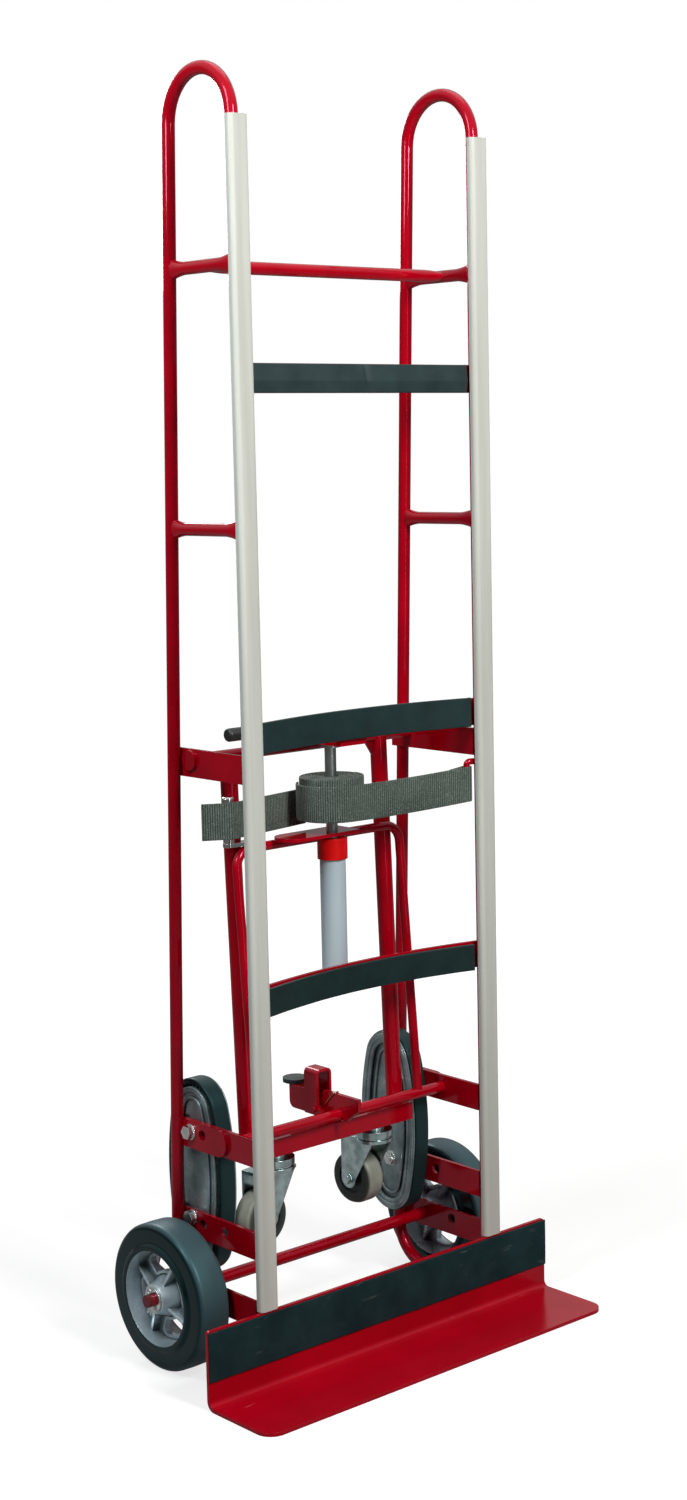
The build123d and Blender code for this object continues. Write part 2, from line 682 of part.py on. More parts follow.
wheel_mid_x = (TYRE_IN_X + TYRE_OUT_X) / 2
hub_bore_r = AXLE_D / 2 + RUN_GAP
half_rim = RIM_W / 2
half_web = HUB_WEB_T / 2
rim_section = Polyline(
    (wheel_mid_x - half_rim, RIM_R),
    (wheel_mid_x + half_rim, RIM_R),
    (wheel_mid_x + half_rim, RIM_R - RIM_LIP),
    (wheel_mid_x + half_web, RIM_R - RIM_ROOT),
    (wheel_mid_x - half_web, RIM_R - RIM_ROOT),
    (wheel_mid_x - half_rim, RIM_R - RIM_LIP),
    close=True,
)
boss_section = Polyline(
    (HUB_IN_X, hub_bore_r),
    (HUB_OUT_X, hub_bore_r),
    (HUB_OUT_X, HUB_BOSS_D / 2),
    (wheel_mid_x + half_web, HUB_BOSS_ROOT_D / 2),
    (wheel_mid_x - half_web, HUB_BOSS_ROOT_D / 2),
    (HUB_IN_X, HUB_BOSS_D / 2),
    close=True,
)
hub_outline = make_face(rim_section) + make_face(boss_section)
hub_outline += ring_outline(wheel_mid_x - half_web, wheel_mid_x + half_web, hub_bore_r, RIM_R)
wheel_hub = turned(hub_outline)

# Four windows, each with a low lip round it, and four ribs that slope from the boss down to the rim
window = sector(HUB_WINDOW_IN_R, HUB_WINDOW_OUT_R, HUB_WINDOW_HALF_ANGLE)
window = fillet(window.vertices(), HUB_WINDOW_CORNER_R)
window_cut = slab(window, wheel_mid_x - RIM_W, wheel_mid_x + RIM_W)
lip_angle = degrees(HUB_WINDOW_LIP_W / HUB_WINDOW_OUT_R)
lip = sector(
    HUB_WINDOW_IN_R - HUB_WINDOW_LIP_W,
    HUB_WINDOW_OUT_R + HUB_WINDOW_LIP_W,
    HUB_WINDOW_HALF_ANGLE + lip_angle,
)
lip = fillet(lip.vertices(), HUB_WINDOW_CORNER_R + HUB_WINDOW_LIP_W / 2)
window_lip = slab(lip, wheel_mid_x + half_web, wheel_mid_x + half_web + HUB_WINDOW_LIP_H)
rib_low_r = (HUB_BOSS_D - HUB_RIB_T) / 2
rib_outline = Polyline(
    (wheel_mid_x - HUB_RIB_AT_BOSS, rib_low_r),
    (wheel_mid_x + HUB_RIB_AT_BOSS, rib_low_r),
    (wheel_mid_x + HUB_RIB_AT_RIM, RIM_R - RIM_LIP),
    (wheel_mid_x - HUB_RIB_AT_RIM, RIM_R - RIM_LIP),
    close=True,
)
rib = layer(make_face(rib_outline), -HUB_RIB_T / 2, HUB_RIB_T / 2)
for spoke in range(HUB_SPOKES):
    turn = HUB_PHASE + 360 / HUB_SPOKES * spoke
    window_turn = Rot(X=turn + 180 / HUB_SPOKES)
    wheel_hub += window_turn * window_lip
    wheel_hub -= window_turn * window_cut
    wheel_hub += Rot(X=turn) * rib
save_pair("wheel_hub", Pos(0, 0, AXLE_Z) * wheel_hub)

# Lower cross tube in two halves, with the latch arm welded between them
half_arm = LATCH_ARM_T / 2
cross_line = ((half_arm, CROSS_TUBE_Y, CROSS_TUBE_Z), (BAR_IN_X, CROSS_TUBE_Y, CROSS_TUBE_Z))
cross_tube = rod(*cross_line, CROSS_TUBE_D) - rod(*cross_line, CROSS_TUBE_D - 2 * CROSS_TUBE_WALL)
save("lower_cross_tube", cross_tube, mirrored(cross_tube))

arm_profile = Polyline(
    (LATCH_ARM_FRONT_Y, LATCH_ARM_HIGH_Z),
    (LATCH_ARM_FRONT_Y, LATCH_ARM_NOSE_Z),
    (CROSS_TUBE_Y - CROSS_TUBE_D, LATCH_ARM_LOW_Z),
    (LATCH_ARM_REAR_Y, LATCH_ARM_LOW_Z),
    (LATCH_ARM_REAR_Y, LATCH_PIN_Z + LATCH_PIN_D),
    (LATCH_PIN_Y - LATCH_PIN_D, LATCH_ARM_HIGH_Z),
    close=True,
)
latch_arm = slab(make_face(arm_profile), -half_arm, half_arm)
latch_arm += slab(disc(LATCH_PIN_D, (LATCH_PIN_Y, LATCH_PIN_Z)), -LATCH_PIN_HALF, LATCH_PIN_HALF)
save("latch_arm", latch_arm)

# Spring wire: a thin wire bent over the top of the latch arm down to the pin
wire_x = half_arm + WELD_GAP + SPRING_WIRE_D / 2
wire_low = (LATCH_PIN_Y - LATCH_PIN_D, LATCH_PIN_Z + LATCH_PIN_D / 2)
wire_high = (LATCH_PIN_Y - SPRING_REACH, LATCH_ARM_HIGH_Z + WELD_GAP + SPRING_WIRE_D / 2)
spring_path = FilletPolyline(
    (wire_x, *wire_low), (wire_x, *wire_high), (-wire_x, *wire_high), (-wire_x, *wire_low), radius=SPRING_BEND_R
)
save("latch_spring", swept(disc(SPRING_WIRE_D), spring_path))

# Latch lever: a bail over the arm with two hook toes, and a pedal to the rear with a rubber foot pad
bail_front = BAIL_HALF_W * 2
bail_outline = Pos(0, (BAIL_TOP_Z + BAIL_LOW_Z) / 2) * Rectangle(bail_front, BAIL_TOP_Z - BAIL_LOW_Z)
bail_outline = fillet(bail_outline.vertices().group_by(Axis.Y)[-1], BAIL_CORNER_R)
gap_top_z = BAIL_TOP_Z - BAIL_T
gap_outline = Pos(0, (gap_top_z + BAIL_LOW_Z) / 2) * Rectangle(bail_front - 2 * BAIL_T, gap_top_z - BAIL_LOW_Z)
gap_outline = fillet(gap_outline.vertices().group_by(Axis.Y)[-1], BAIL_CORNER_R - BAIL_T)
bail = extrude(Plane.XZ.offset(-BAIL_REAR_Y) * (bail_outline - gap_outline), amount=BAIL_REAR_Y - BAIL_FRONT_Y)
pedal_outline = Pos((BAIL_REAR_Y + PEDAL_REAR_Y) / 2, (PEDAL_TOP_Z + PEDAL_LOW_Z) / 2) * Rectangle(
    PEDAL_REAR_Y - BAIL_REAR_Y, PEDAL_TOP_Z - PEDAL_LOW_Z
)
rear_low_corner = pedal_outline.vertices().group_by(Axis.Y)[0].sort_by(Axis.X)[-1]
pedal_outline = fillet(rear_low_corner, PEDAL_CORNER_R)
pedal = slab(pedal_outline, -BAIL_HALF_W, BAIL_HALF_W)
pedal -= block(
    (PEDAL_WALL - BAIL_HALF_W, BAIL_HALF_W - PEDAL_WALL),
    (BAIL_REAR_Y, PEDAL_REAR_Y - PEDAL_WALL),
    (PEDAL_LOW_Z, PEDAL_TOP_Z - PEDAL_WALL),
)
hook = Polyline(
    (BAIL_FRONT_Y + BAIL_T, TOE_HOOK_TOP_Z),
    (TOE_HOOK_Y + TOE_HOOK_W / 2, TOE_HOOK_TOP_Z),
    (TOE_HOOK_Y, BAIL_LOW_Z),
    (TOE_HOOK_Y + TOE_HOOK_W, BAIL_LOW_Z),
    (BAIL_FRONT_Y + BAIL_T, LATCH_PIN_Z - LATCH_PIN_D / 2),
    close=True,
)
hook_toe = slab(make_face(hook), BAIL_HALF_W - BAIL_T, BAIL_HALF_W)
latch_lever = bail + pedal + hook_toe + mirrored(hook_toe)
latch_lever -= rod(
    (-LATCH_PIN_HALF, LATCH_PIN_Y, LATCH_PIN_Z),
    (LATCH_PIN_HALF, LATCH_PIN_Y, LATCH_PIN_Z),
    LATCH_PIN_D + 2 * RUN_GAP,
)
save("latch_lever", latch_lever)
pad_low_z = PEDAL_TOP_Z + SEAT_GAP
foot_pad = layer(disc(FOOT_PAD_D, (0, FOOT_PAD_Y)), pad_low_z, pad_low_z + FOOT_PAD_T)
bumper_half = BAIL_HALF_W - PEDAL_WALL - SEAT_GAP
bumper = slab(disc(BUMPER_D, (BUMPER_Y, BUMPER_Z)), -bumper_half, bumper_half)
save("latch_pads", foot_pad, bumper)

# Recoil tube on its shelf, closed by a plastic cap that the spindle passes into
recoil_at = (0, SPINDLE_Y)
recoil_ring = disc(RECOIL_D, recoil_at) - disc(RECOIL_D - 2 * RECOIL_WALL, recoil_at)
save("recoil_tube", layer(recoil_ring, RECOIL_LOW_Z, RECOIL_TOP_Z))
cap = layer(disc(CAP_D, recoil_at), CAP_LOW_Z, CAP_TOP_Z)
cap -= layer(disc(RECOIL_D + 2 * SEAT_GAP, recoil_at), CAP_LOW_Z, RECOIL_TOP_Z + SEAT_GAP)
cap -= layer(disc(CAP_BORE_D, recoil_at), CAP_LOW_Z, CAP_TOP_Z)
save("recoil_cap", cap)

# Hoop: a bent rod standing on the cross tube, with the lower bearing plate of the spindle on top
hoop_foot = Vector(0, CROSS_TUBE_Y, CROSS_TUBE_Z)
hoop_rise = Vector(0, HOOP_TOP_Y, HOOP_TOP_Z) - hoop_foot
hoop_plane = Plane(origin=hoop_foot, x_dir=(1, 0, 0), z_dir=Vector(1, 0, 0).cross(hoop_rise))
hoop_path = hoop_plane * FilletPolyline(
    (-HOOP_HALF_W, 0),
    (-HOOP_HALF_W, hoop_rise.length),
    (HOOP_HALF_W, hoop_rise.length),
    (HOOP_HALF_W, 0),
    radius=HOOP_BEND_R,
)
hoop = swept(disc(HOOP_D), hoop_path)
hoop -= rod((-BAR_IN_X, CROSS_TUBE_Y, CROSS_TUBE_Z), (BAR_IN_X, CROSS_TUBE_Y, CROSS_TUBE_Z), CROSS_TUBE_D)
hoop = hoop.solids().sort_by(SortBy.VOLUME)[-1]
plate_depth = BEARING_PLATE_REAR_Y - BEARING_PLATE_FRONT_Y
plate_mid_y = (BEARING_PLATE_REAR_Y + BEARING_PLATE_FRONT_Y) / 2
plate_round_x = BEARING_PLATE_LEFT_X + plate_depth / 2
plate_outline = Pos((plate_round_x + BEARING_PLATE_RIGHT_X) / 2, plate_mid_y) * Rectangle(
    BEARING_PLATE_RIGHT_X - plate_round_x, plate_depth
)
plate_outline += disc(plate_depth, (plate_round_x, plate_mid_y))
plate_outline -= disc(SPINDLE_D + 2 * RUN_GAP, recoil_at)
plate_low_z = HOOP_TOP_Z + HOOP_D / 2
save("spindle_hoop", hoop, layer(plate_outline, plate_low_z, plate_low_z + BEARING_PLATE_T))

# Spindle with its collar and top nut, and the ratchet wheel fixed on it
collar_high_z = SHELF_LOW_Z - MOVE_GAP
nut_low_z = HANDLE_TOP_FACE_Z + MOVE_GAP
spindle = layer(disc(SPINDLE_D, recoil_at), SPINDLE_LOW_Z, SPINDLE_TOP_Z)
spindle += layer(disc(COLLAR_D, recoil_at), collar_high_z - COLLAR_T, collar_high_z)
spindle += layer(hexagon(TOP_NUT_W, recoil_at), nut_low_z, nut_low_z + TOP_NUT_T)
save("spindle", spindle)

tooth_points = []
for tooth in range(RATCHET_TEETH):
    face_angle = radians(RATCHET_PHASE + 360 / RATCHET_TEETH * tooth)
    for radius in (RATCHET_TIP_R, RATCHET_ROOT_R):
        tooth_points.append((radius * cos(face_angle), SPINDLE_Y + radius * sin(face_angle)))
ratchet_outline = make_face(Polyline(*tooth_points, close=True)) - disc(SPINDLE_D + 2 * RUN_GAP, recoil_at)
save("ratchet_wheel", layer(ratchet_outline, RATCHET_LOW_Z, RATCHET_LOW_Z + RATCHET_T))


# Pawls: one rides on the handle and drives the wheel, one sits on the shelf and holds it
def pawl(pivot_angle):
    """Tapered pawl with its eye on the pivot circle and its nose just clear of the teeth."""
    eye = disc(PAWL_EYE_D, (PAWL_PIVOT_R, 0))
    lag = radians(-PAWL_NOSE_LAG)
    tip = disc(PAWL_TIP_D, (PAWL_NOSE_R * cos(lag), PAWL_NOSE_R * sin(lag)))
    outline = make_hull([*eye.edges(), *tip.edges()]) - disc(PAWL_PIN_D + 2 * RUN_GAP, (PAWL_PIVOT_R, 0))
    return layer(Pos(0, SPINDLE_Y) * Rot(0, 0, pivot_angle) * outline, RATCHET_LOW_Z, pawl_top_z)


save("drive_pawl", pawl(DRIVE_PAWL_ANGLE))
save("holding_pawl", pawl(HOLDING_PAWL_ANGLE))

# Ratchet handle: a hub on the spindle, a flat arm with the drive pawl's pin, and a vinyl grip
arm_mid_z = HANDLE_ARM_LOW_Z + HANDLE_ARM_T / 2
drive_pin_at = (
    PAWL_PIVOT_R * cos(radians(DRIVE_PAWL_ANGLE)),
    SPINDLE_Y + PAWL_PIVOT_R * sin(radians(DRIVE_PAWL_ANGLE)),
)
pin_low_z = RATCHET_LOW_Z - MOVE_GAP - PAWL_HEAD_T
handle = layer(disc(HANDLE_HUB_D, recoil_at), HANDLE_LOW_Z, HANDLE_TOP_FACE_Z)
handle += block(
    (HANDLE_END_X, 0),
    (SPINDLE_Y - HANDLE_ARM_W / 2, SPINDLE_Y + HANDLE_ARM_W / 2),
    (HANDLE_ARM_LOW_Z, HANDLE_ARM_LOW_Z + HANDLE_ARM_T),
)
handle += layer(disc(PAWL_PIN_D, drive_pin_at), pin_low_z, HANDLE_ARM_LOW_Z)
handle += layer(disc(PAWL_HEAD_D, drive_pin_at), pin_low_z, pin_low_z + PAWL_HEAD_T)
handle -= layer(disc(SPINDLE_D + 2 * RUN_GAP, recoil_at), HANDLE_LOW_Z, HANDLE_TOP_FACE_Z)
save("ratchet_handle", handle)
grip = rod((GRIP_START_X, SPINDLE_Y, arm_mid_z), (GRIP_END_X, SPINDLE_Y, arm_mid_z), GRIP_D)
grip = fillet(grip.edges().filter_by(GeomType.CIRCLE), GRIP_D / 5)
slot_half_w = HANDLE_ARM_W / 2 + SEAT_GAP
slot_half_t = HANDLE_ARM_T / 2 + SEAT_GAP
grip -= block(
    (HANDLE_END_X - SEAT_GAP, GRIP_START_X),
    (SPINDLE_Y - slot_half_w, SPINDLE_Y + slot_half_w),
    (arm_mid_z - slot_half_t, arm_mid_z + slot_half_t),
)
save("handle_grip", grip)


# Strap: a wound roll on the spindle, and the two legs that leave it
def band(path, low_z):
    """Webbing standing on edge along a path seen from above."""
    section = Plane(origin=path @ 0, x_dir=(0, 0, 1), z_dir=path % 0) * Rectangle(STRAP_W, STRAP_T)
    return Pos(0, 0, low_z + STRAP_W / 2) * sweep(section, path=path)


def offset_point(centre, radius, heading, side):
    """Point where a line with this heading touches a circle on its left (1) or right (-1)."""
    return (centre[0] - side * radius * sin(heading), centre[1] + side * radius * cos(heading))


def tangent_line(first, first_r, first_side, second, second_r, second_side):
    """Straight line touching two circles, each on the left (1) or right (-1) of its travel."""
    run = (second[0] - first[0], second[1] - first[1])
    swing = asin((first_side * first_r - second_side * second_r) / hypot(*run))
    heading = atan2(run[1], run[0]) - swing
    start = offset_point(first, first_r, heading, first_side)
    return Line(start, offset_point(second, second_r, heading, second_side))


# The roll is a spiral of half circles, each wider than the one before by half the pitch
roll_shift = ROLL_PITCH / 4
roll_arcs = []
for half in range(ROLL_HALF_TURNS):
    radius = ROLL_IN_R + half * ROLL_PITCH / 2
    even = half % 2 == 0
    centre = (-roll_shift if even else roll_shift, SPINDLE_Y)
    roll_arcs.append(CenterArc(centre, radius, 0 if even else 180, 180))
save("strap_roll", band(Wire(roll_arcs), ROLL_LOW_Z))
print("strap roll: outer radius", ROLL_OUT_R, "gap between turns", ROLL_PITCH - STRAP_T)

leg_r = ROLL_OUT_R + STRAP_T / 2 + LEG_GAP
anchor_r = ANCHOR_D / 2 + WELD_GAP + STRAP_T / 2
right_run = tangent_line(recoil_at, leg_r, -1, (ANCHOR_X, ANCHOR_Y), anchor_r, -1)
fold = JernArc(right_run @ 1, right_run % 1, anchor_r, FOLD_TURN)
fold_end = Line(fold @ 1, (fold @ 1) + FOLD_LENGTH * (fold % 1))
leave = (right_run @ 0) - Vector(*recoil_at)
leave_angle = degrees(atan2(leave.Y, leave.X)) % 360
right_wrap = CenterArc(recoil_at, leg_r, RIGHT_WRAP_START, leave_angle - RIGHT_WRAP_START)
climb = (right_run @ 1) - (right_run @ 0) + Vector(0, 0, RIGHT_LEG_LOW_Z - RIGHT_WRAP_LOW_Z)
run_start = (right_run @ 0) + Vector(0, 0, RIGHT_WRAP_LOW_Z + STRAP_W / 2)
run_section = Plane(origin=run_start, x_dir=(0, 0, 1), z_dir=right_run % 0) * Rectangle(STRAP_W, STRAP_T)
strap_right = band(right_wrap, RIGHT_WRAP_LOW_Z) + extrude(run_section, amount=climb.length, dir=climb)
save("strap_right", strap_right + band(Wire([fold, fold_end]), RIGHT_LEG_LOW_Z))

guide_r = GUIDE_ROLLER_D / 2 + WELD_GAP + STRAP_T / 2
left_run = tangent_line(recoil_at, leg_r, -1, (GUIDE_X, GUIDE_Y), guide_r, 1)
wrap = JernArc(left_run @ 1, left_run % 1, guide_r, -GUIDE_WRAP)
tail = Line(wrap @ 1, (wrap @ 1) + TAIL_LENGTH * (wrap % 1))
save("strap_left", band(Wire([left_run, wrap, tail]), LEFT_LEG_LOW_Z))

# Anchor hook on the right front leg, and the guide pin with its roller on the hoop's left corner
hook_path = FilletPolyline(
    (RAIL_X, FRONT_Y, ANCHOR_HIGH_Z - ANCHOR_D / 2),
    (ANCHOR_X, ANCHOR_Y, ANCHOR_HIGH_Z - ANCHOR_D / 2),
    (ANCHOR_X, ANCHOR_Y, ANCHOR_LOW_Z),
    radius=ANCHOR_BEND_R,
)
anchor_hook = swept(disc(ANCHOR_D), hook_path)
anchor_hook -= rod((RAIL_X, FRONT_Y, SKID_Z), (RAIL_X, FRONT_Y, LOOP_Z), TUBE_D)
save("strap_anchor", anchor_hook.solids().sort_by(SortBy.VOLUME)[-1])

tab_outline = Pos(GUIDE_X + GUIDE_TAB_REACH / 2, GUIDE_Y) * Rectangle(GUIDE_TAB_REACH, 2 * GUIDE_TAB_HALF_W)
tab_outline += disc(2 * GUIDE_TAB_HALF_W, (GUIDE_X, GUIDE_Y))
guide_at = (GUIDE_X, GUIDE_Y)
guide_pin = layer(tab_outline, plate_low_z, plate_low_z + GUIDE_TAB_T)
guide_pin += layer(disc(GUIDE_PIN_D, guide_at), plate_low_z, GUIDE_HIGH_Z + MOVE_GAP)
guide_cap = layer(disc(GUIDE_CAP_D, guide_at), GUIDE_HIGH_Z + MOVE_GAP, GUIDE_HIGH_Z + MOVE_GAP + GUIDE_CAP_T)
guide_cap = fillet(guide_cap.edges().group_by(Axis.Z)[-1], GUIDE_CAP_T * 0.8)
save("guide_pin", guide_pin + guide_cap)
roller_ring = disc(GUIDE_ROLLER_D, guide_at) - disc(GUIDE_PIN_D + 2 * RUN_GAP, guide_at)
save("guide_roller", layer(roller_ring, GUIDE_LOW_Z, GUIDE_HIGH_Z))

# Carriage: a head tube on the arm pins, two legs, and an inverted channel for the casters
head_half = BAR_IN_X - MOVE_GAP
head_ring = disc(HEAD_TUBE_D, (PIVOT_Y, PIVOT_Z)) - disc(PIVOT_PIN_D + 2 * RUN_GAP, (PIVOT_Y, PIVOT_Z))
save("carriage_head", slab(head_ring, -head_half, head_half))

leg_line = ((LEG_X, PIVOT_Y, PIVOT_Z), (LEG_X, LEG_FOOT_Y, CHANNEL_LOW_Z))
leg = rod(*leg_line, LEG_D)
leg -= block((0, RAIL_X), (CHANNEL_FRONT_Y - LEG_D, CHANNEL_REAR_Y + LEG_D), (0, CHANNEL_TOP_Z))
gusset_top_z = PIVOT_Z - HEAD_TUBE_D / 4
gusset_in_x = LEG_X - LEG_D / 2 - GUSSET_W
gusset = Polyline(
    (LEG_X - LEG_D / 4, gusset_top_z),
    (gusset_in_x, gusset_top_z),
    (LEG_X - LEG_D / 4, gusset_top_z - GUSSET_H),
    close=True,
)
leg += extrude(Plane.XZ.offset(-PIVOT_Y) * make_face(gusset), amount=GUSSET_T / 2, both=True)
leg -= slab(disc(HEAD_TUBE_D, (PIVOT_Y, PIVOT_Z)), 0, RAIL_X)
leg -= rod(*leg_line, LEG_D - 2 * LEG_WALL)
save("carriage_legs", leg, mirrored(leg))

channel_x = (-CHANNEL_HALF_W, CHANNEL_HALF_W)
channel = block(channel_x, (CHANNEL_FRONT_Y, CHANNEL_REAR_Y), (CHANNEL_LOW_Z, CHANNEL_TOP_Z))
channel -= block(
    channel_x,
    (CHANNEL_FRONT_Y + CHANNEL_T, CHANNEL_REAR_Y - CHANNEL_T),
    (CHANNEL_LOW_Z, CHANNEL_TOP_Z - CHANNEL_T),
)
channel += block(
    (-STRIKER_HALF_W, STRIKER_HALF_W), (STRIKER_Y, STRIKER_Y + STRIKER_T), (CHANNEL_TOP_Z, STRIKER_TOP_Z)
)
save("caster_channel", channel)


# Casters: a fixed head under the channel, a fork that swivels on its kingpin, and a wheel
def caster_head(x):
    """Plate, neck, swivel ring and kingpin under the channel's web."""
    at = (x, SWIVEL_Y)
    web_z = CHANNEL_TOP_Z - CHANNEL_T
    ring_top_z = HEAD_RING_LOW_Z + HEAD_RING_H
    pin_low_z = CROWN_LOW_Z - MOVE_GAP - KINGPIN_HEAD_T
    head = layer(Pos(*at) * Rectangle(HEAD_PLATE_L, HEAD_PLATE_W), web_z - HEAD_PLATE_T, web_z)
    head += layer(disc(HEAD_NECK_D, at), ring_top_z, web_z)
    head += layer(disc(HEAD_RING_D, at), HEAD_RING_LOW_Z + HEAD_WAIST_H, ring_top_z)
    head += layer(disc(HEAD_WAIST_D, at), HEAD_RING_LOW_Z, ring_top_z)
    head += layer(disc(KINGPIN_D, at), pin_low_z, HEAD_RING_LOW_Z)
    head += layer(disc(KINGPIN_HEAD_D, at), pin_low_z, pin_low_z + KINGPIN_HEAD_T)
    return head


save("caster_heads", caster_head(SWIVEL_X), caster_head(-SWIVEL_X))

# Fork about its own swivel axis, trailing along Y
fork_in_x = CASTER_W / 2 + FORK_GAP
fork_out_x = fork_in_x + FORK_T
axle_at = (CASTER_TRAIL, CASTER_AXLE_Z)
blade_edge = Polyline(
    (-CROWN_FRONT, CROWN_TOP_Z),
    (CASTER_TRAIL - FORK_TIP_D / 2, CASTER_AXLE_Z),
    (CASTER_TRAIL + FORK_TIP_D / 2, CASTER_AXLE_Z),
    (CROWN_REAR, CROWN_TOP_Z),
    close=True,
)
blade = slab(make_face(blade_edge) + disc(FORK_TIP_D, axle_at), fork_in_x, fork_out_x)
fork = layer(disc(CROWN_D), CROWN_LOW_Z, CROWN_TOP_Z)
fork += block((-fork_out_x, fork_out_x), (-CROWN_FRONT, CROWN_REAR), (CROWN_LOW_Z, CROWN_TOP_Z))
fork -= layer(disc(KINGPIN_D + 2 * RUN_GAP), CROWN_LOW_Z, CROWN_TOP_Z)
fork += blade
fork += mirrored(blade)
fork += slab(disc(CASTER_BOLT_D, axle_at), -fork_out_x, fork_out_x)
for nut_x in (fork_out_x, -fork_out_x - CASTER_NUT_T):
    fork += slab(hexagon(CASTER_NUT_W, axle_at), nut_x, nut_x + CASTER_NUT_T)

tread_in_r = CASTER_D / 2 - CASTER_TREAD_T
tread = ring_outline(-CASTER_W / 2, CASTER_W / 2, tread_in_r + SEAT_GAP, CASTER_D / 2)
tread = fillet(tread.vertices().group_by(Axis.Y)[-1], CASTER_SHOULDER_R)
caster_tread = turned(tread)
core = ring_outline(-CASTER_W / 2, CASTER_W / 2, CASTER_BOLT_D / 2 + RUN_GAP, tread_in_r)
for face_x in (-CASTER_W / 2, CASTER_W / 2 - CASTER_HUB_RECESS):
    core -= ring_outline(face_x, face_x + CASTER_HUB_RECESS, CASTER_BOSS_D / 2, CASTER_HUB_FACE_D / 2)
caster_core = turned(core)

# The right caster trails to the rear, the left one has swung to trail outward
wheel_place = Pos(0, CASTER_TRAIL, CASTER_AXLE_Z)
for side, swivel_x in (("right", SWIVEL_X), ("left", -SWIVEL_X)):
    place = Pos(swivel_x, SWIVEL_Y, 0) * Rot(0, 0, CASTER_TURNS[side])
    save(f"caster_fork_{side}", place * fork)
    save(f"caster_tyre_{side}", place * wheel_place * caster_tread)
    save(f"caster_hub_{side}", place * wheel_place * caster_core)


# Stair crawlers: a lugged belt round an oval ridged casting, carried on two smooth pulleys
def oval(inset):
    """Crawler outline moved in from the belt's face: two end arcs joined by two flatter side arcs."""
    reach = CRAWLER_SIDE_R - CRAWLER_HALF_DEPTH
    lean = degrees(atan2(CRAWLER_END, reach))
    end_r = CRAWLER_END_R - inset
    side_r = CRAWLER_SIDE_R - inset
    rear = CenterArc((CRAWLER_Y - reach, CRAWLER_MID_Z), side_r, -lean, 2 * lean)
    top = CenterArc((CRAWLER_Y, CRAWLER_MID_Z + CRAWLER_END), end_r, lean, 180 - 2 * lean)
    front = CenterArc((CRAWLER_Y + reach, CRAWLER_MID_Z), side_r, 180 - lean, 2 * lean)
    bottom = CenterArc((CRAWLER_Y, CRAWLER_MID_Z - CRAWLER_END), end_r, 180 + lean, 180 - 2 * lean)
    return Wire([rear, top, front, bottom])


def oval_ring(outer_inset, inner_inset):
    """Band between two insets of the crawler outline."""
    return make_face(oval(outer_inset)) - make_face(oval(inner_inset))


crawler_in_x = CRAWLER_X - BELT_W / 2
crawler_out_x = CRAWLER_X + BELT_W / 2
belt_line = oval(BELT_T)
lug_count = round(belt_line.length / LUG_PITCH)
lug_face = Pos(0, (LUG_H - BELT_T / 4) / 2) * Rectangle(LUG_W, LUG_H + BELT_T / 4)
lugs = []
for lug in range(lug_count):
    spot = belt_line @ ((lug + 0.5) / lug_count)
    along = belt_line % ((lug + 0.5) / lug_count)
    lugs.append(Pos(spot.X, spot.Y) * Rot(0, 0, degrees(atan2(along.Y, along.X))) * lug_face)
save_pair("crawler_belt", slab(oval_ring(0, BELT_T) + lugs, crawler_in_x, crawler_out_x))

casting_in_x = CRAWLER_X - CASTING_W / 2
casting_out_x = CRAWLER_X + CASTING_W / 2
ridges = oval_ring(CASTING_INSET, CASTING_INSET + OUTER_RIDGE_W)
ridges += oval_ring(INNER_RIDGE_INSET, INNER_RIDGE_INSET + INNER_RIDGE_W)
casting = slab(make_face(oval(CASTING_INSET)), casting_in_x, casting_out_x)
casting += slab(ridges, casting_in_x - CASTING_RIDGE_H, casting_out_x + CASTING_RIDGE_H)
flange_x = crawler_in_x - MOVE_GAP - CASTING_FLANGE_T
flange_end_inset = CASTING_INSET + OUTER_RIDGE_W
casting += slab(oval_ring(CASTING_FLANGE_INSET, flange_end_inset), flange_x, crawler_in_x - MOVE_GAP)
casting += slab(oval_ring(CASTING_INSET, flange_end_inset), flange_x, casting_in_x)
pulley_half_slot = PULLEY_W / 2 + MOVE_GAP
pulley_axes = (CRAWLER_MID_Z + CRAWLER_END, CRAWLER_MID_Z - CRAWLER_END)
for bolt_at in (CRAWLER_BOLT_HIGH, CRAWLER_BOLT_LOW):
    bolt_hole = disc(CRAWLER_BOLT_D + 2 * RUN_GAP, bolt_at)
    casting += slab(disc(CRAWLER_BOSS_D, bolt_at), casting_out_x, BAR_IN_X)
    casting -= slab(bolt_hole, casting_out_x - CRAWLER_BOLT_BITE, BAR_IN_X)
    casting -= slab(bolt_hole, casting_in_x, casting_in_x + CRAWLER_BOLT_BITE)
for axis_z in pulley_axes:
    slot = disc(2 * PULLEY_R + 2, (CRAWLER_Y, axis_z))
    casting -= slab(slot, CRAWLER_X - pulley_half_slot, CRAWLER_X + pulley_half_slot)
    casting += slab(disc(PULLEY_PIN_D, (CRAWLER_Y, axis_z)), casting_in_x, casting_out_x)
save_pair("crawler_casting", casting)


# Crawler bolts: a hex head and washer on each bar, and a stud with its nut on the inner face of the casting
def crawler_bolt(at, face_x):
    """Bolt from the outer face of a bar into the casting."""
    head_x = face_x + BOLT_WASHER_T
    bolt = slab(disc(CRAWLER_BOLT_D, at), casting_out_x - CRAWLER_BOLT_BITE, head_x)
    bolt += slab(disc(BOLT_WASHER_D, at), face_x, head_x)
    bolt += slab(hexagon(BOLT_HEAD_W, at), head_x, head_x + BOLT_HEAD_T)
    return bolt


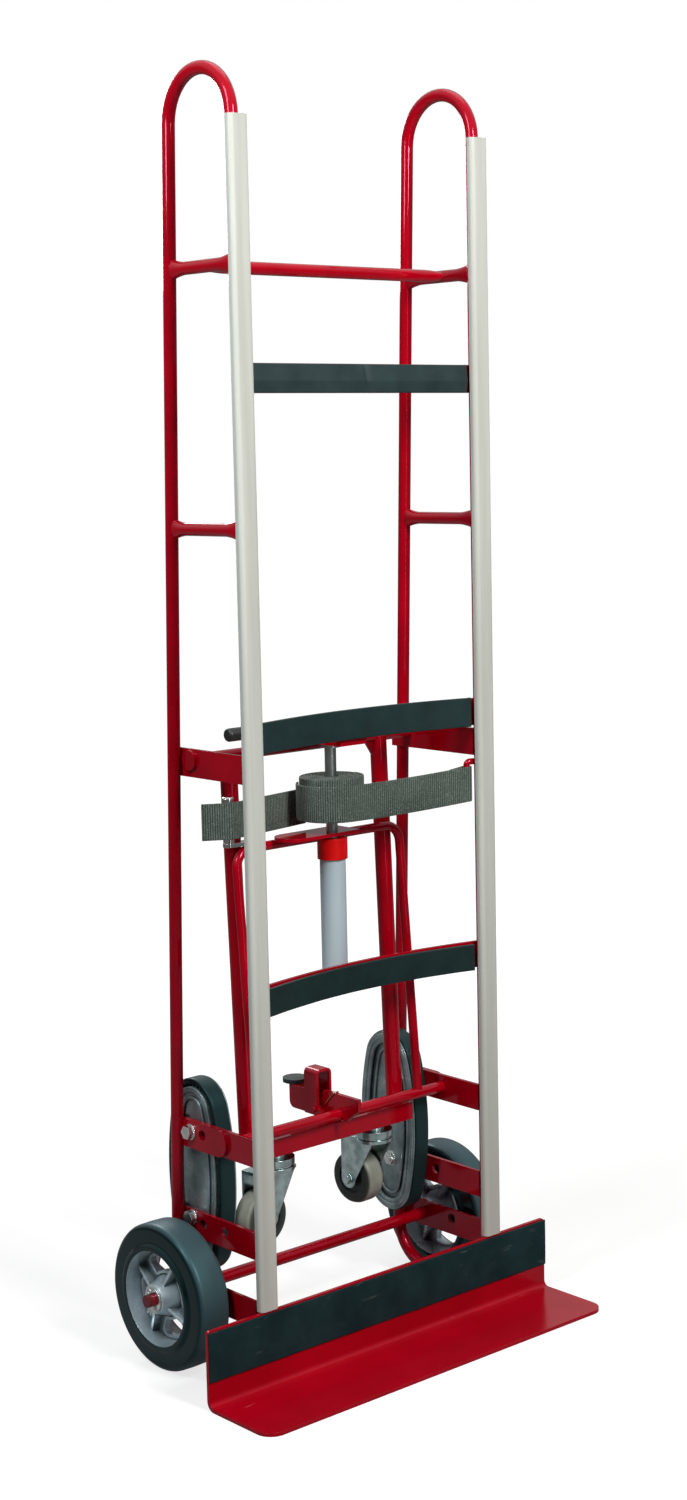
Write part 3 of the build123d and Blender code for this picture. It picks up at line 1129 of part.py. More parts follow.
def crawler_stud(at):
    """Stud with a thin nut on the inner face of the casting, short of the swinging casters."""
    nut_x = casting_in_x - STUD_WASHER_T
    tip_x = nut_x - STUD_NUT_T - STUD_PAST_NUT
    stud = slab(disc(CRAWLER_BOLT_D, at), tip_x, casting_in_x + CRAWLER_BOLT_BITE)
    stud += slab(disc(BOLT_WASHER_D, at), nut_x, casting_in_x)
    stud += slab(hexagon(BOLT_HEAD_W, at), nut_x - STUD_NUT_T, nut_x)
    return stud


right_bolts = [
    crawler_bolt(CRAWLER_BOLT_HIGH, TUBE_IN_X + BAR_T),
    crawler_bolt(CRAWLER_BOLT_LOW, TUBE_IN_X),
    crawler_stud(CRAWLER_BOLT_HIGH),
    crawler_stud(CRAWLER_BOLT_LOW),
]
save("crawler_bolts", *right_bolts, *[mirrored(bolt) for bolt in right_bolts])

# Pulleys: dished wheels turning on the casting's pins
pulley_outline = ring_outline(-PULLEY_W / 2, PULLEY_W / 2, PULLEY_PIN_D / 2 + RUN_GAP, PULLEY_R)
for face_x in (-PULLEY_W / 2, PULLEY_W / 2 - PULLEY_DISH):
    pulley_outline -= ring_outline(face_x, face_x + PULLEY_DISH, PULLEY_BOSS_D / 2, PULLEY_R - PULLEY_RIM_T)
pulley = turned(pulley_outline)
for level, axis_z in zip(("upper", "lower"), pulley_axes):
    save_pair(f"crawler_pulley_{level}", Pos(CRAWLER_X, CRAWLER_Y, axis_z) * pulley)
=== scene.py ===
import math

import bmesh
import bpy
import numpy as np
from mathutils import Matrix, Vector


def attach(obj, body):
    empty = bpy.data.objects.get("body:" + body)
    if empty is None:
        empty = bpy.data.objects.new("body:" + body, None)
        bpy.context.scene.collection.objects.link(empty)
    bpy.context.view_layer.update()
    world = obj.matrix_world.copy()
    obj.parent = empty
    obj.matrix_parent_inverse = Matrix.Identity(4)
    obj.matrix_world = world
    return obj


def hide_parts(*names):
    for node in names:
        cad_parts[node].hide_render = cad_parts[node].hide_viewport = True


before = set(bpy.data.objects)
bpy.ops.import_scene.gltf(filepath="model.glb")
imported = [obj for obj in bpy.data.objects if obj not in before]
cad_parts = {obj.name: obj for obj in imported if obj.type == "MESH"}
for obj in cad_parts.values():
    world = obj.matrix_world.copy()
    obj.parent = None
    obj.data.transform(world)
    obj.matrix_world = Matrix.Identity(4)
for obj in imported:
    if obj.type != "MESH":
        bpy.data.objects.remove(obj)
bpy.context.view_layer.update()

# Side tubes. One steel tube on each side, bent into a front leg, a hand loop, a leaning rear leg and a skid.
# The whole welded frame is sprayed with one thick coat of red gloss enamel.
MM = 0.001
ORIGIN_SHIFT = 87.7     # the axle lies this far behind the frame's origin


def colour(red, green, blue):
    """Linear colour of a screen colour from 0 to 255: the screen curve undone for each channel."""
    screen = np.array([red, green, blue]) / 255
    linear = np.where(screen <= 0.04045, screen / 12.92, ((screen + 0.055) / 1.055) ** 2.4)
    return (*linear.tolist(), 1.0)


def put(tree, kind, inputs=None, **options):
    """Adds a shader node, sets its options, and sets or links its inputs."""
    made = tree.nodes.new(kind)
    for option, value in options.items():
        setattr(made, option, value)
    for socket, value in (inputs or {}).items():
        if isinstance(value, bpy.types.NodeSocket):
            tree.links.new(value, made.inputs[socket])
        else:
            made.inputs[socket].default_value = value
    return made


def mixed(tree, factor, first, second, blend="MIX"):
    """Colour mixed from two colours, each a socket or a value."""
    mix = put(tree, "ShaderNodeMix", {0: factor, 6: first, 7: second}, data_type="RGBA", blend_type=blend)
    return mix.outputs[2]


def remap(tree, value, low, high, to_low=0.0, to_high=1.0):
    """Value carried over from the range low to high to another range, and held at its ends."""
    given = {"Value": value, "From Min": low, "From Max": high, "To Min": to_low, "To Max": to_high}
    return put(tree, "ShaderNodeMapRange", given).outputs[0]


def worked(tree, operation, first, second=0.0, clamp=False):
    """Value of one operation of the math node, each side a socket or a number."""
    return put(tree, "ShaderNodeMath", {0: first, 1: second}, operation=operation, use_clamp=clamp).outputs[0]


def new_group(name, inputs, outputs):
    """Shader group with the given sockets, as its tree, input node and output node."""
    group = bpy.data.node_groups.new(name, "ShaderNodeTree")
    for socket, (kind, value) in inputs.items():
        group.interface.new_socket(socket, in_out="INPUT", socket_type=kind).default_value = value
    for socket, kind in outputs.items():
        group.interface.new_socket(socket, in_out="OUTPUT", socket_type=kind)
    return group, group.nodes.new("NodeGroupInput"), group.nodes.new("NodeGroupOutput")


SOFT_PATCH = (0.32, 0.68)       # noise over which one tone gives way to the other
SCRATCH_FULL = 0.8              # noise from which a scratch shows in full


def drawn_out(group, given):
    """Object coordinates, drawn out along the axes by the group's Stretch."""
    place = put(group, "ShaderNodeTexCoord").outputs["Object"]
    axes = {0: place, 1: given.outputs["Stretch"]}
    return put(group, "ShaderNodeVectorMath", axes, operation="MULTIPLY").outputs[0]


def patchy_tone():
    """Two tones mixed by soft noise patches, which Stretch can draw out along an axis."""
    group, given, result = new_group(
        "patchy_tone",
        {
            "Light": ("NodeSocketColor", (1, 1, 1, 1)),
            "Dark": ("NodeSocketColor", (0, 0, 0, 1)),
            "Scale": ("NodeSocketFloat", 20.0),
            "Stretch": ("NodeSocketVector", (1, 1, 1)),
        },
        {"Color": "NodeSocketColor", "Mask": "NodeSocketFloat"},
    )
    noise = put(group, "ShaderNodeTexNoise", {"Vector": drawn_out(group, given), "Detail": 4.0})
    group.links.new(given.outputs["Scale"], noise.inputs["Scale"])
    mask = remap(group, noise.outputs[0], *SOFT_PATCH)
    tone = mixed(group, mask, given.outputs["Light"], given.outputs["Dark"])
    group.links.new(tone, result.inputs["Color"])
    group.links.new(mask, result.inputs["Mask"])
    return group


def fine_relief():
    """Small bumps all over a surface, Depth high, on top of the normal that comes in."""
    group, given, result = new_group(
        "fine_relief",
        {
            "Scale": ("NodeSocketFloat", 500.0),
            "Depth": ("NodeSocketFloat", 0.00002),
            "Normal": ("NodeSocketVector", (0, 0, 1)),
        },
        {"Normal": "NodeSocketVector"},
    )
    place = put(group, "ShaderNodeTexCoord").outputs["Object"]
    noise = put(group, "ShaderNodeTexNoise", {"Vector": place, "Scale": given.outputs["Scale"]})
    bump = put(group, "ShaderNodeBump", {"Height": noise.outputs[0], "Distance": given.outputs["Depth"]})
    group.links.new(given.outputs["Normal"], bump.inputs["Normal"])
    group.links.new(bump.outputs[0], result.inputs["Normal"])
    return group


def scuff_mask():
    """Thin broken scratches: drawn-out noise of which only the highest part is kept."""
    group, given, result = new_group(
        "scuff_mask",
        {
            "Scale": ("NodeSocketFloat", 30.0),
            "Stretch": ("NodeSocketVector", (1, 1, 1)),
            "Amount": ("NodeSocketFloat", 0.3),
        },
        {"Mask": "NodeSocketFloat"},
    )
    noise = put(group, "ShaderNodeTexNoise", {"Vector": drawn_out(group, given), "Detail": 6.0})
    group.links.new(given.outputs["Scale"], noise.inputs["Scale"])
    lowest = worked(group, "SUBTRACT", 1.0, given.outputs["Amount"])
    group.links.new(remap(group, noise.outputs[0], lowest, SCRATCH_FULL), result.inputs["Mask"])
    return group


PATCHY_TONE = patchy_tone()
FINE_RELIEF = fine_relief()
SCUFF_MASK = scuff_mask()


def finish_of(name, tones, patch, gloss, relief, edge=0.0, stretch=(1, 1, 1), **sockets):
    """Finish with two tones, a roughness that follows them, small relief, and edges rounded by edge."""
    material = bpy.data.materials.new(name)
    material.use_nodes = True
    tree = material.node_tree
    shader = tree.nodes["Principled BSDF"]
    for socket, value in sockets.items():
        shader.inputs[socket.replace("_", " ")].default_value = value
    patches = {"Light": colour(*tones[0]), "Dark": colour(*tones[1]), "Scale": patch, "Stretch": stretch}
    tone = put(tree, "ShaderNodeGroup", patches, node_tree=PATCHY_TONE)
    rough = remap(tree, tone.outputs["Mask"], 0.0, 1.0, gloss[0], gloss[1])
    bumps = put(tree, "ShaderNodeGroup", {"Scale": relief[0], "Depth": relief[1]}, node_tree=FINE_RELIEF)
    if edge:
        start = put(tree, "ShaderNodeBevel", {"Radius": edge}, samples=6)
    else:
        start = put(tree, "ShaderNodeNewGeometry")
    tree.links.new(start.outputs["Normal"], bumps.inputs["Normal"])
    tree.links.new(tone.outputs["Color"], shader.inputs["Base Color"])
    tree.links.new(rough, shader.inputs["Roughness"])
    tree.links.new(bumps.outputs["Normal"], shader.inputs["Normal"])
    return material


def lay_over(tree, mask, value, socket="Base Color"):
    """Mixes a value, by a mask, over what a socket of the finish has."""
    shader = tree.nodes["Principled BSDF"]
    under = shader.inputs[socket].links[0].from_socket
    tree.links.new(mixed(tree, mask, under, value), shader.inputs[socket])


def scuffed(material, tone, scale, stretch, amount):
    """Lays scratches of another tone over a finish."""
    tree = material.node_tree
    scratches = {"Scale": scale, "Stretch": stretch, "Amount": amount}
    marks = put(tree, "ShaderNodeGroup", scratches, node_tree=SCUFF_MASK)
    lay_over(tree, marks.outputs["Mask"], colour(*tone))


def dress(material, *nodes):
    """Gives a finish to nodes that keep their own shape."""
    for name in nodes:
        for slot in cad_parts[name].material_slots:
            slot.material = material


ENAMEL_TONES = ((176, 1, 24), (158, 0, 18))
ENAMEL_TINT = (1.0, 0.34, 0.52, 1.0)
enamel = finish_of(
    "red_enamel", ENAMEL_TONES, patch=14, gloss=(0.06, 0.11), relief=(160, 0.000012),
    edge=0.9 * MM, Specular_IOR_Level=0.5, Specular_Tint=ENAMEL_TINT,
)
dress(enamel, "side_tube_left", "side_tube_right")

# Toe plate. One 5 mm sheet bent up against the front legs and welded there, enamelled with the frame.
# Loads slide over it, so its coat has a few pale scuffs, drawn out along its width.
# Painted light: the toe plate's enamel is a little brighter than the frame's, for light on its upward face.
lit_toe_enamel = finish_of(
    "lit_toe_enamel", ((184, 1, 27), (168, 0, 20)), patch=9, gloss=(0.14, 0.24), relief=(120, 0.00002),
    edge=1.2 * MM, Specular_IOR_Level=0.35, Specular_Tint=ENAMEL_TINT,
)
scuffed(lit_toe_enamel, (206, 74, 88), scale=26, stretch=(0.5, 3.2, 3.2), amount=0.28)
dress(lit_toe_enamel, "toe_plate")


# Toe facing. A strip of black rubber sheet glued to the flange, cut a little short of its top edge.
# Its edges are cut square and rub off round, and the sheet lies a little uneven on its glue.
def shell(points, wrap_rows=False, capped=False):
    """Grid of points (row, column, xyz) closed round its columns, a quad between each four neighbours."""
    rows, columns = points.shape[:2]
    index = np.arange(rows * columns).reshape(rows, columns)
    caps = [index[0].tolist(), index[-1].tolist()] if capped else []
    if wrap_rows:
        index = np.concatenate([index, index[:1]])
    index = np.concatenate([index, index[:, :1]], axis=1)
    quads = np.stack([index[:-1, :-1], index[1:, :-1], index[1:, 1:], index[:-1, 1:]], axis=-1)
    return points.reshape(-1, 3), quads.reshape(-1, 4), caps


def make_piece(name, shells, material, body, slot, *replaced, marks=None):
    """One object from closed shells in millimetres about the axle, riding on a body in place of nodes."""
    starts = np.cumsum([0] + [len(points) for points, quads, caps in shells])
    all_points = np.concatenate([points for points, quads, caps in shells])
    faces = []
    for (points, quads, caps), start in zip(shells, starts.tolist()):
        faces += (quads + start).tolist()
        faces += [[corner + start for corner in cap] for cap in caps]
    mesh = bpy.data.meshes.new(name)
    mesh.from_pydata((all_points + (0, ORIGIN_SHIFT, 0)) * MM, [], faces)
    if marks is not None:
        mesh.attributes.new("own_place", "FLOAT_VECTOR", "POINT").data.foreach_set("vector", marks.ravel())
    work = bmesh.new()
    work.from_mesh(mesh)
    bmesh.ops.recalc_face_normals(work, faces=work.faces)
    work.to_mesh(mesh)
    work.free()
    mesh.shade_smooth()
    mesh.set_sharp_from_angle(angle=math.radians(50))
    mesh.materials.append(material)
    piece = bpy.data.objects.new(name, mesh)
    bpy.context.scene.collection.objects.link(piece)
    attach(piece, body)
    if replaced:
        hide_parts(*replaced)


def rounded(corners, radii, steps=7):
    """Closed outline in which an arc of its own radius takes the place of each corner."""
    corners = np.asarray(corners, float)
    radii = np.asarray(radii, float)[:, None]
    before = np.roll(corners, 1, axis=0) - corners
    after = np.roll(corners, -1, axis=0) - corners
    before /= np.linalg.norm(before, axis=1, keepdims=True)
    after /= np.linalg.norm(after, axis=1, keepdims=True)
    half = np.arccos(np.clip((before * after).sum(1, keepdims=True), -1, 1)) / 2
    middle = (before + after) / np.linalg.norm(before + after, axis=1, keepdims=True)
    centre = corners + middle * radii / np.sin(half)
    first = corners + before * radii / np.tan(half) - centre
    last = corners + after * radii / np.tan(half) - centre
    turn = (np.pi - 2 * half)[:, :, None]
    part = np.linspace(0, 1, steps)[None, :, None]
    arc = np.sin((1 - part) * turn) * first[:, None] + np.sin(part * turn) * last[:, None]
    return (centre[:, None] + arc / np.sin(turn)).reshape(-1, 2)


def lengths(points):
    """Length along a line up to each of its points."""
    return np.concatenate([[0], np.cumsum(np.linalg.norm(np.diff(points, axis=0), axis=1))])


def evenly(outline, step):
    """Closed outline with points at about every step along it."""
    loop = np.concatenate([outline, outline[:1]])
    along = lengths(loop)
    spots = np.linspace(0, along[-1], int(along[-1] / step), endpoint=False)
    return np.stack([np.interp(spots, along, loop[:, axis]) for axis in (0, 1)], axis=1)


STRIP_COLUMNS = 380
RUBBER_EDGE_R = 0.9
END_FLARE = 0.4                 # part of the edge radius by which a strip is taller at its ends
RUBBER_WAVE = 0.18
CREASE_DEPTH = 2.0
CREASE_LEAN = 0.12
CREASE_SIDES = (1.6, 8.0)       # how far its steep and its gentle side reach
RIDGE_H = 2.4
RIDGE_DROP = 3.5                # the ridge along a creased pad lies this far below its middle
RIDGE_SIDES = (15.0, 22.0)      # how far it reaches down and up


def rubber_strip(half_width, front_y, thickness, low_z, high_z, bow, crease=None):
    """Rounded section carried along a shallow arc, y = bow (1 - (x/half)^2), with slow waves and a crease."""
    corners = [(0, low_z), (thickness, low_z), (thickness, high_z), (0, high_z)]
    section = evenly(rounded(corners, [RUBBER_EDGE_R] * 4), 1.2)
    x = np.linspace(-half_width, half_width, STRIP_COLUMNS)[:, None]
    inside = np.clip((half_width - np.abs(x)) / RUBBER_EDGE_R, 0, 1)
    lower = END_FLARE * RUBBER_EDGE_R * np.sqrt(1 - (1 - inside) ** 2)
    middle_z = (low_z + high_z) / 2
    out = section[None, :, 0] * np.ones_like(x)
    up = section[None, :, 1] - np.sign(section[None, :, 1] - middle_z) * lower
    wave = RUBBER_WAVE * (np.sin(x / 23 + up / 31) + np.sin(x / 9.7 - up / 17 + 1.3))
    if crease is not None:
        beside = x - crease + CREASE_LEAN * (up - middle_z)
        above = up - middle_z + RIDGE_DROP
        wave = wave + CREASE_DEPTH * np.exp(-((beside / np.where(beside < 0, *CREASE_SIDES)) ** 2))
        wave = wave - RIDGE_H * np.clip(1 - np.abs(above) / np.where(above < 0, *RIDGE_SIDES), 0, 1)
    front = 1 - out / thickness
    y = front_y + out + bow * (1 - (x / half_width) ** 2) + front * wave
    return shell(np.stack([x * np.ones_like(y), y, up * np.ones_like(y)], axis=-1), capped=True)


rubber = finish_of(
    "strip_rubber", ((27, 54, 57), (16, 40, 43)), patch=22, gloss=(0.42, 0.58), relief=(900, 0.00005),
    Specular_IOR_Level=0.10,
)
scuffed(rubber, (74, 88, 88), scale=40, stretch=(0.6, 2.0, 3.0), amount=0.33)
FRONT_LEG_Y = -142.0
TUBE_D = 17.5
TOE_SHEET_T = 5.0
FACING_T = 3.0
FACING_GAP = 0.1
FACING_HALF_W = 313.4
FACING_LOW_Z = 38.0
FACING_HIGH_Z = 105.8
facing_y = FRONT_LEG_Y - TUBE_D / 2 - TOE_SHEET_T - FACING_GAP - FACING_T
facing = rubber_strip(FACING_HALF_W, facing_y, FACING_T, FACING_LOW_Z, FACING_HIGH_Z, bow=0.0)
make_piece("toe_facing", [facing], rubber, "frame", "pad_rubber", "toe_pad")

# Guards. A warm grey plastic extrusion is pushed onto each front leg, where loads lean against it.
# Its face has faint streaks and a few darker scratches along its length.
guard_grey = finish_of(
    "guard_plastic", ((203, 205, 198), (187, 190, 182)), patch=60, gloss=(0.42, 0.55),
    relief=(500, 0.00003), edge=1.0 * MM, stretch=(1, 1, 0.04), Specular_IOR_Level=0.2,
)
scuffed(guard_grey, (128, 130, 122), scale=90, stretch=(1.0, 1.0, 0.05), amount=0.27)
dress(guard_grey, "rail_guards")

# Struts and crossbar. Round tubes with ends pressed flat into fans, four of them between front and rear legs.
# The crossbar joins the upper two. All are enamelled with the frame.
dress(enamel, "side_struts", "top_crossbar")

# Rest bars. Flat bars between the front legs, two of them bowed to the rear to hold round loads.
# Each has a glued rubber pad on its front, painted paler the higher it sits as painted light and shade; the
# upper one also has a crease near its middle.
dress(enamel, "upper_rest_bar", "middle_rest_bar", "lower_rest_bar")
# Painted light and shade: one rubber in three tones, palest on the upper pad and darkest on the lower.
pad_rubber = {
    rest: finish_of(
        f"{rest}_pad_rubber", tones, patch=30, gloss=(0.40, 0.52), relief=(900, 0.00005),
        Specular_IOR_Level=0.2,
    )
    for rest, tones in (
        ("upper", ((46, 62, 64), (34, 49, 51))),
        ("middle", ((33, 53, 54), (23, 41, 42))),
        ("lower", ((25, 46, 46), (16, 35, 35))),
    )
}
PAD_HALF_W = 190.0
PAD_FRONT_Y = -145.0
PAD_T = 6.0
REST_BOW = 27.0
for rest, middle_z, height, bow, crease in (
    ("upper", 1328.5, 38.0, 0.0, 3.0),
    ("middle", 867.9, 41.4, REST_BOW, None),
    ("lower", 518.0, 38.0, REST_BOW, None),
):
    pad = rubber_strip(
        PAD_HALF_W, PAD_FRONT_Y, PAD_T, middle_z - height / 2, middle_z + height / 2, bow, crease
    )
    make_piece(f"{rest}_pad", [pad], pad_rubber[rest], "frame", "pad_rubber", f"{rest}_rest_pad")

# Arms and bars. Flat bars welded inside the side tubes carry the carriage and the crawlers.
# Bars outside the tubes carry the axle, a plain rod that is painted with the frame.
dress(enamel, "middle_arms", "side_bars")
AXLE_BROWN = (0.286, 0.290)     # how far from the middle the enamel gives way to brown, in metres


def worn_ends():
    """Frame enamel that has rubbed to brown at the axle's two ends, by the distance from the middle."""
    material = finish_of(
        "axle_enamel", ENAMEL_TONES, patch=14, gloss=(0.12, 0.20), relief=(160, 0.00002),
        edge=1.4 * MM, Specular_IOR_Level=0.5, Specular_Tint=ENAMEL_TINT,
    )
    tree = material.node_tree
    place = put(tree, "ShaderNodeTexCoord").outputs["Object"]
    across = worked(tree, "ABSOLUTE", put(tree, "ShaderNodeSeparateXYZ", {0: place}).outputs[0])
    lay_over(tree, remap(tree, across, *AXLE_BROWN), colour(104, 34, 34))
    return material


dress(worn_ends(), "axle")

# Main tyres. Solid black rubber rings pressed onto the rims, with a rounded tread and smooth sidewalls.
# A lip of rubber lies over the rim's edge, and the tread is dusty from use.
WHEEL_R = 101.6
AXLE_Z = WHEEL_R
RIM_R = 69.6
TYRE_IN_X = 230.0
TYRE_OUT_X = 281.0
TYRE_MIDDLE_X = (TYRE_IN_X + TYRE_OUT_X) / 2
TYRE_HALF_W = (TYRE_OUT_X - TYRE_IN_X) / 2
RIM_HALF_W = 27.5
LIP_IN_R = 65.2
LIP_GAP = 0.1
LIP_OUT = 1.2           # the lip's outer face stands this far off the rim
SIDEWALL_IN = 0.4       # the sidewall lies this far inside the tyre's full width
SHOULDER_R = 9.0
CROWN_R = 60.0


def turned(profile, centre_y, centre_z, segments):
    """Closed outline of (along the axle, radius) turned about an axle along X."""
    angle = np.linspace(0, 2 * np.pi, segments, endpoint=False)[:, None]
    x = profile[None, :, 0] + 0 * angle
    y = centre_y + profile[None, :, 1] * np.cos(angle)
    z = centre_z + profile[None, :, 1] * np.sin(angle)
    return np.stack([x, y, z], axis=-1)


def tyre_profile():
    """Section: lip over the rim's edge, flat sidewall, round shoulder and crowned tread, both sides alike."""
    side = [
        (RIM_HALF_W + LIP_GAP, RIM_R),
        (RIM_HALF_W + LIP_GAP, LIP_IN_R),
        (RIM_HALF_W + LIP_OUT, LIP_IN_R + 0.6),
        (RIM_HALF_W + LIP_OUT, RIM_R + 1.5),
        (TYRE_HALF_W - SIDEWALL_IN, RIM_R + 6.5),
        (TYRE_HALF_W - SIDEWALL_IN, WHEEL_R - 0.6),
    ]
    radii = [0.3, 0.3, 0.3, 1.6, 4.0, SHOULDER_R]
    crown = [(0.0, WHEEL_R)]
    other = [(-x, r) for x, r in reversed(side)]
    return rounded(side + crown + other, radii + [CROWN_R] + radii[::-1], steps=9)


def first_mark(tree):
    """First of the three values that a mesh has at each point under the name own_place."""
    own_place = put(tree, "ShaderNodeAttribute", attribute_name="own_place").outputs["Vector"]
    return put(tree, "ShaderNodeSeparateXYZ", {0: own_place}).outputs[0]


def dusted(material, tone, dull, clean, dusty):
    """Lays dull dust over a finish as the first mark goes from clean to dusty."""
    tree = material.node_tree
    dust = remap(tree, first_mark(tree), clean, dusty)
    lay_over(tree, dust, colour(*tone))
    lay_over(tree, dust, (dull, dull, dull, 1), "Roughness")


RUBBER_TINT = (0.4, 0.9, 1.0, 1.0)
tyre_rubber = finish_of(
    "tyre_rubber", ((3, 20, 22), (1, 11, 13)), patch=30, gloss=(0.12, 0.20), relief=(700, 0.00003),
    Specular_IOR_Level=0.4, Specular_Tint=RUBBER_TINT,
)
dusted(tyre_rubber, (58, 79, 84), dull=0.40, clean=WHEEL_R - 6.0, dusty=WHEEL_R - 1.0)
tyre_section = tyre_profile()
for side, sign in (("left", -1), ("right", 1)):
    ring = turned(tyre_section + (sign * TYRE_MIDDLE_X, 0), 0.0, AXLE_Z, 160)
    tyre_marks = np.zeros_like(ring) + (1, 0, 0) * tyre_section[None, :, 1:]
    make_piece(
        f"main_tyre_{side}", [shell(ring, wrap_rows=True)],
        tyre_rubber, f"wheel_{side}", "tyre_rubber", f"wheel_tyre_{side}", marks=tyre_marks,
    )

# Wheel hubs. Aluminium cast with four ribs and four windows, left as it comes from the mould.
# The cast skin is slightly rough, and its recesses are painted darker as painted shade.
OPEN_AIR = (0.4, 0.95)          # share of free sky at which the painted shade is darkest, and at which it is gone


def shaded_in_recesses(material, tone, reach):
    """Lays painted shade over a finish: a darker tone where the piece's own surfaces close in within reach.
    """
    tree = material.node_tree
    open_air = put(tree, "ShaderNodeAmbientOcclusion", {"Distance": reach}, samples=8, only_local=True)
    lay_over(tree, remap(tree, open_air.outputs["AO"], *OPEN_AIR, 1.0, 0.0), colour(*tone))


cast_skin = finish_of(
    "cast_aluminium", ((228, 242, 249), (190, 208, 216)), patch=45, gloss=(0.24, 0.38),
    relief=(420, 0.00010), edge=1.6 * MM, Metallic=0.45,
)
# Painted shade: the hub's corners and recesses are darkened where its own surfaces close in.
shaded_in_recesses(cast_skin, (84, 98, 102), reach=22 * MM)
dress(cast_skin, "wheel_hub_left", "wheel_hub_right")

# Axle keepers. A zinc plated washer and a cotter pin hold each wheel on the axle.
# The pin is one bent wire with an eye, pushed through from above, its two legs bent apart below.
WASHER_X = 284.4
WASHER_T = 2.5
WASHER_R = 17.0
WASHER_BORE_R = 8.81
AXLE_END_X = 297.0
COTTER_X = (WASHER_X + WASHER_T + AXLE_END_X) / 2
COTTER_WIRE_R = 0.95
COTTER_EYE_R = 3.4
COTTER_EYE_UP = 13.0
COTTER_EYE_ENDS = (-72, 252)
COTTER_TOP = 8.5
COTTER_HALF_GAP = 1.05
COTTER_LEGS = ((27.0, 17.0), (30.0, 8.0))   # length of each leg, and how strongly it is bent out
COTTER_BENT_FROM = 0.62                     # part of the way down a leg
COTTER_BEND_POWER = 1.4


def wire(path, radius, sides=10):
    """Round wire along points (y, z) of a plane across X: a circle set between X and the path's normal."""
    along = np.gradient(path, axis=0)
    along /= np.linalg.norm(along, axis=1, keepdims=True)
    angle = np.linspace(0, 2 * np.pi, sides, endpoint=False)[None, :]
    x = radius * np.sin(angle) + 0 * path[:, :1]
    y = path[:, :1] - along[:, 1:] * radius * np.cos(angle)
    z = path[:, 1:] + along[:, :1] * radius * np.cos(angle)
    return np.stack([x, y, z], axis=-1)


def cotter_leg(length, spread):
    """Leg from the top of the axle down, as (y, z): straight, then bent out by a power of the way."""
    drop = np.linspace(0, 1, 14)[:, None]
    out = COTTER_HALF_GAP + spread * np.clip(drop - COTTER_BENT_FROM, 0, 1) ** COTTER_BEND_POWER
    return np.concatenate([out, AXLE_Z + COTTER_TOP - length * drop], axis=1)


def cotter_path():
    """From one splayed leg up through the axle, round the eye, and down to the other leg."""
    angle = np.radians(np.linspace(*COTTER_EYE_ENDS, 28))
    eye = COTTER_EYE_R * np.stack([np.cos(angle), np.sin(angle)], axis=1) + (0, AXLE_Z + COTTER_EYE_UP)
    rear, front = (cotter_leg(length, spread) for length, spread in COTTER_LEGS)
    return np.concatenate([rear[::-1], eye, front * (-1, 1)])


zinc = finish_of(
    "zinc_plate", ((232, 236, 234), (188, 194, 192)), patch=70, gloss=(0.16, 0.30), relief=(500, 0.00006),
    edge=0.7 * MM, Metallic=1.0,
)
washer_corners = [(0, WASHER_BORE_R), (WASHER_T, WASHER_BORE_R), (WASHER_T, WASHER_R), (0, WASHER_R)]
washer_section = rounded(washer_corners, [0.4] * 4, steps=4)
keepers = []
for sign in (-1, 1):
    washer = turned(washer_section + (WASHER_X, 0), 0.0, AXLE_Z, 48)
    cotter = wire(cotter_path(), COTTER_WIRE_R) + (COTTER_X, 0, 0)
    keepers.append(shell(washer * (sign, 1, 1), wrap_rows=True))
    keepers.append(shell(cotter * (sign, 1, 1), capped=True))
make_piece("washers_and_cotters", keepers, zinc, "frame", "zinc_steel", "axle_keepers")

# Cross tube and latch. A tube in two halves with the latch arm welded between them, all enamelled.
# The lever turns on a pin in the arm, has black rubber pads, and is held up by a bent spring wire.
dress(enamel, "lower_cross_tube", "latch_arm", "latch_lever")
spring_wire = finish_of(
    "spring_wire", ((214, 196, 158), (182, 162, 124)), patch=120, gloss=(0.25, 0.35), relief=(400, 0.00002),
    Metallic=1.0,
)
dress(spring_wire, "latch_spring")
moulded_rubber = finish_of(
    "moulded_rubber", ((38, 48, 48), (24, 32, 32)), patch=60, gloss=(0.40, 0.55), relief=(700, 0.00005),
    edge=1.2 * MM, Specular_IOR_Level=0.4,
)
dress(moulded_rubber, "latch_pads")

# Recoil tube. A grey plastic pipe with the rewind spring inside, closed by a red moulded cap.
# Both stand on a shelf behind the lower rest bar.
pipe_grey = finish_of(
    "recoil_pipe", ((184, 202, 210), (169, 188, 197)), patch=30, gloss=(0.32, 0.42), relief=(500, 0.00002),
    edge=0.8 * MM, stretch=(1, 1, 0.1), Specular_IOR_Level=0.45,
)
cap_red = finish_of(
    "cap_plastic", ((222, 14, 14), (204, 8, 8)), patch=50, gloss=(0.30, 0.40), relief=(500, 0.00003),
    edge=1.6 * MM, Specular_IOR_Level=0.2,
)
dress(pipe_grey, "recoil_tube")
dress(cap_red, "recoil_cap")

# Hoop. A bent rod that stands on the cross tube and holds the lower bearing plate of the spindle.
# It is enamelled with the frame.
dress(enamel, "spindle_hoop")

# Spindle, ratchet and handle. Zinc plated steel that turns in the shelf and the bearing plate.
# The handle's arm ends in a black vinyl grip that is dipped on.
dull_zinc = finish_of(
    "spindle_zinc", ((196, 204, 202), (126, 136, 134)), patch=120, gloss=(0.22, 0.42),
    relief=(500, 0.00006), edge=0.7 * MM, stretch=(1, 1, 0.15), Metallic=1.0,
)
dress(dull_zinc, "spindle", "ratchet_wheel", "drive_pawl", "holding_pawl", "ratchet_handle")
vinyl = finish_of(
    "grip_vinyl", ((32, 36, 36), (20, 24, 24)), patch=60, gloss=(0.38, 0.5), relief=(600, 0.00004),
    edge=1.2 * MM,
)
dress(vinyl, "handle_grip")

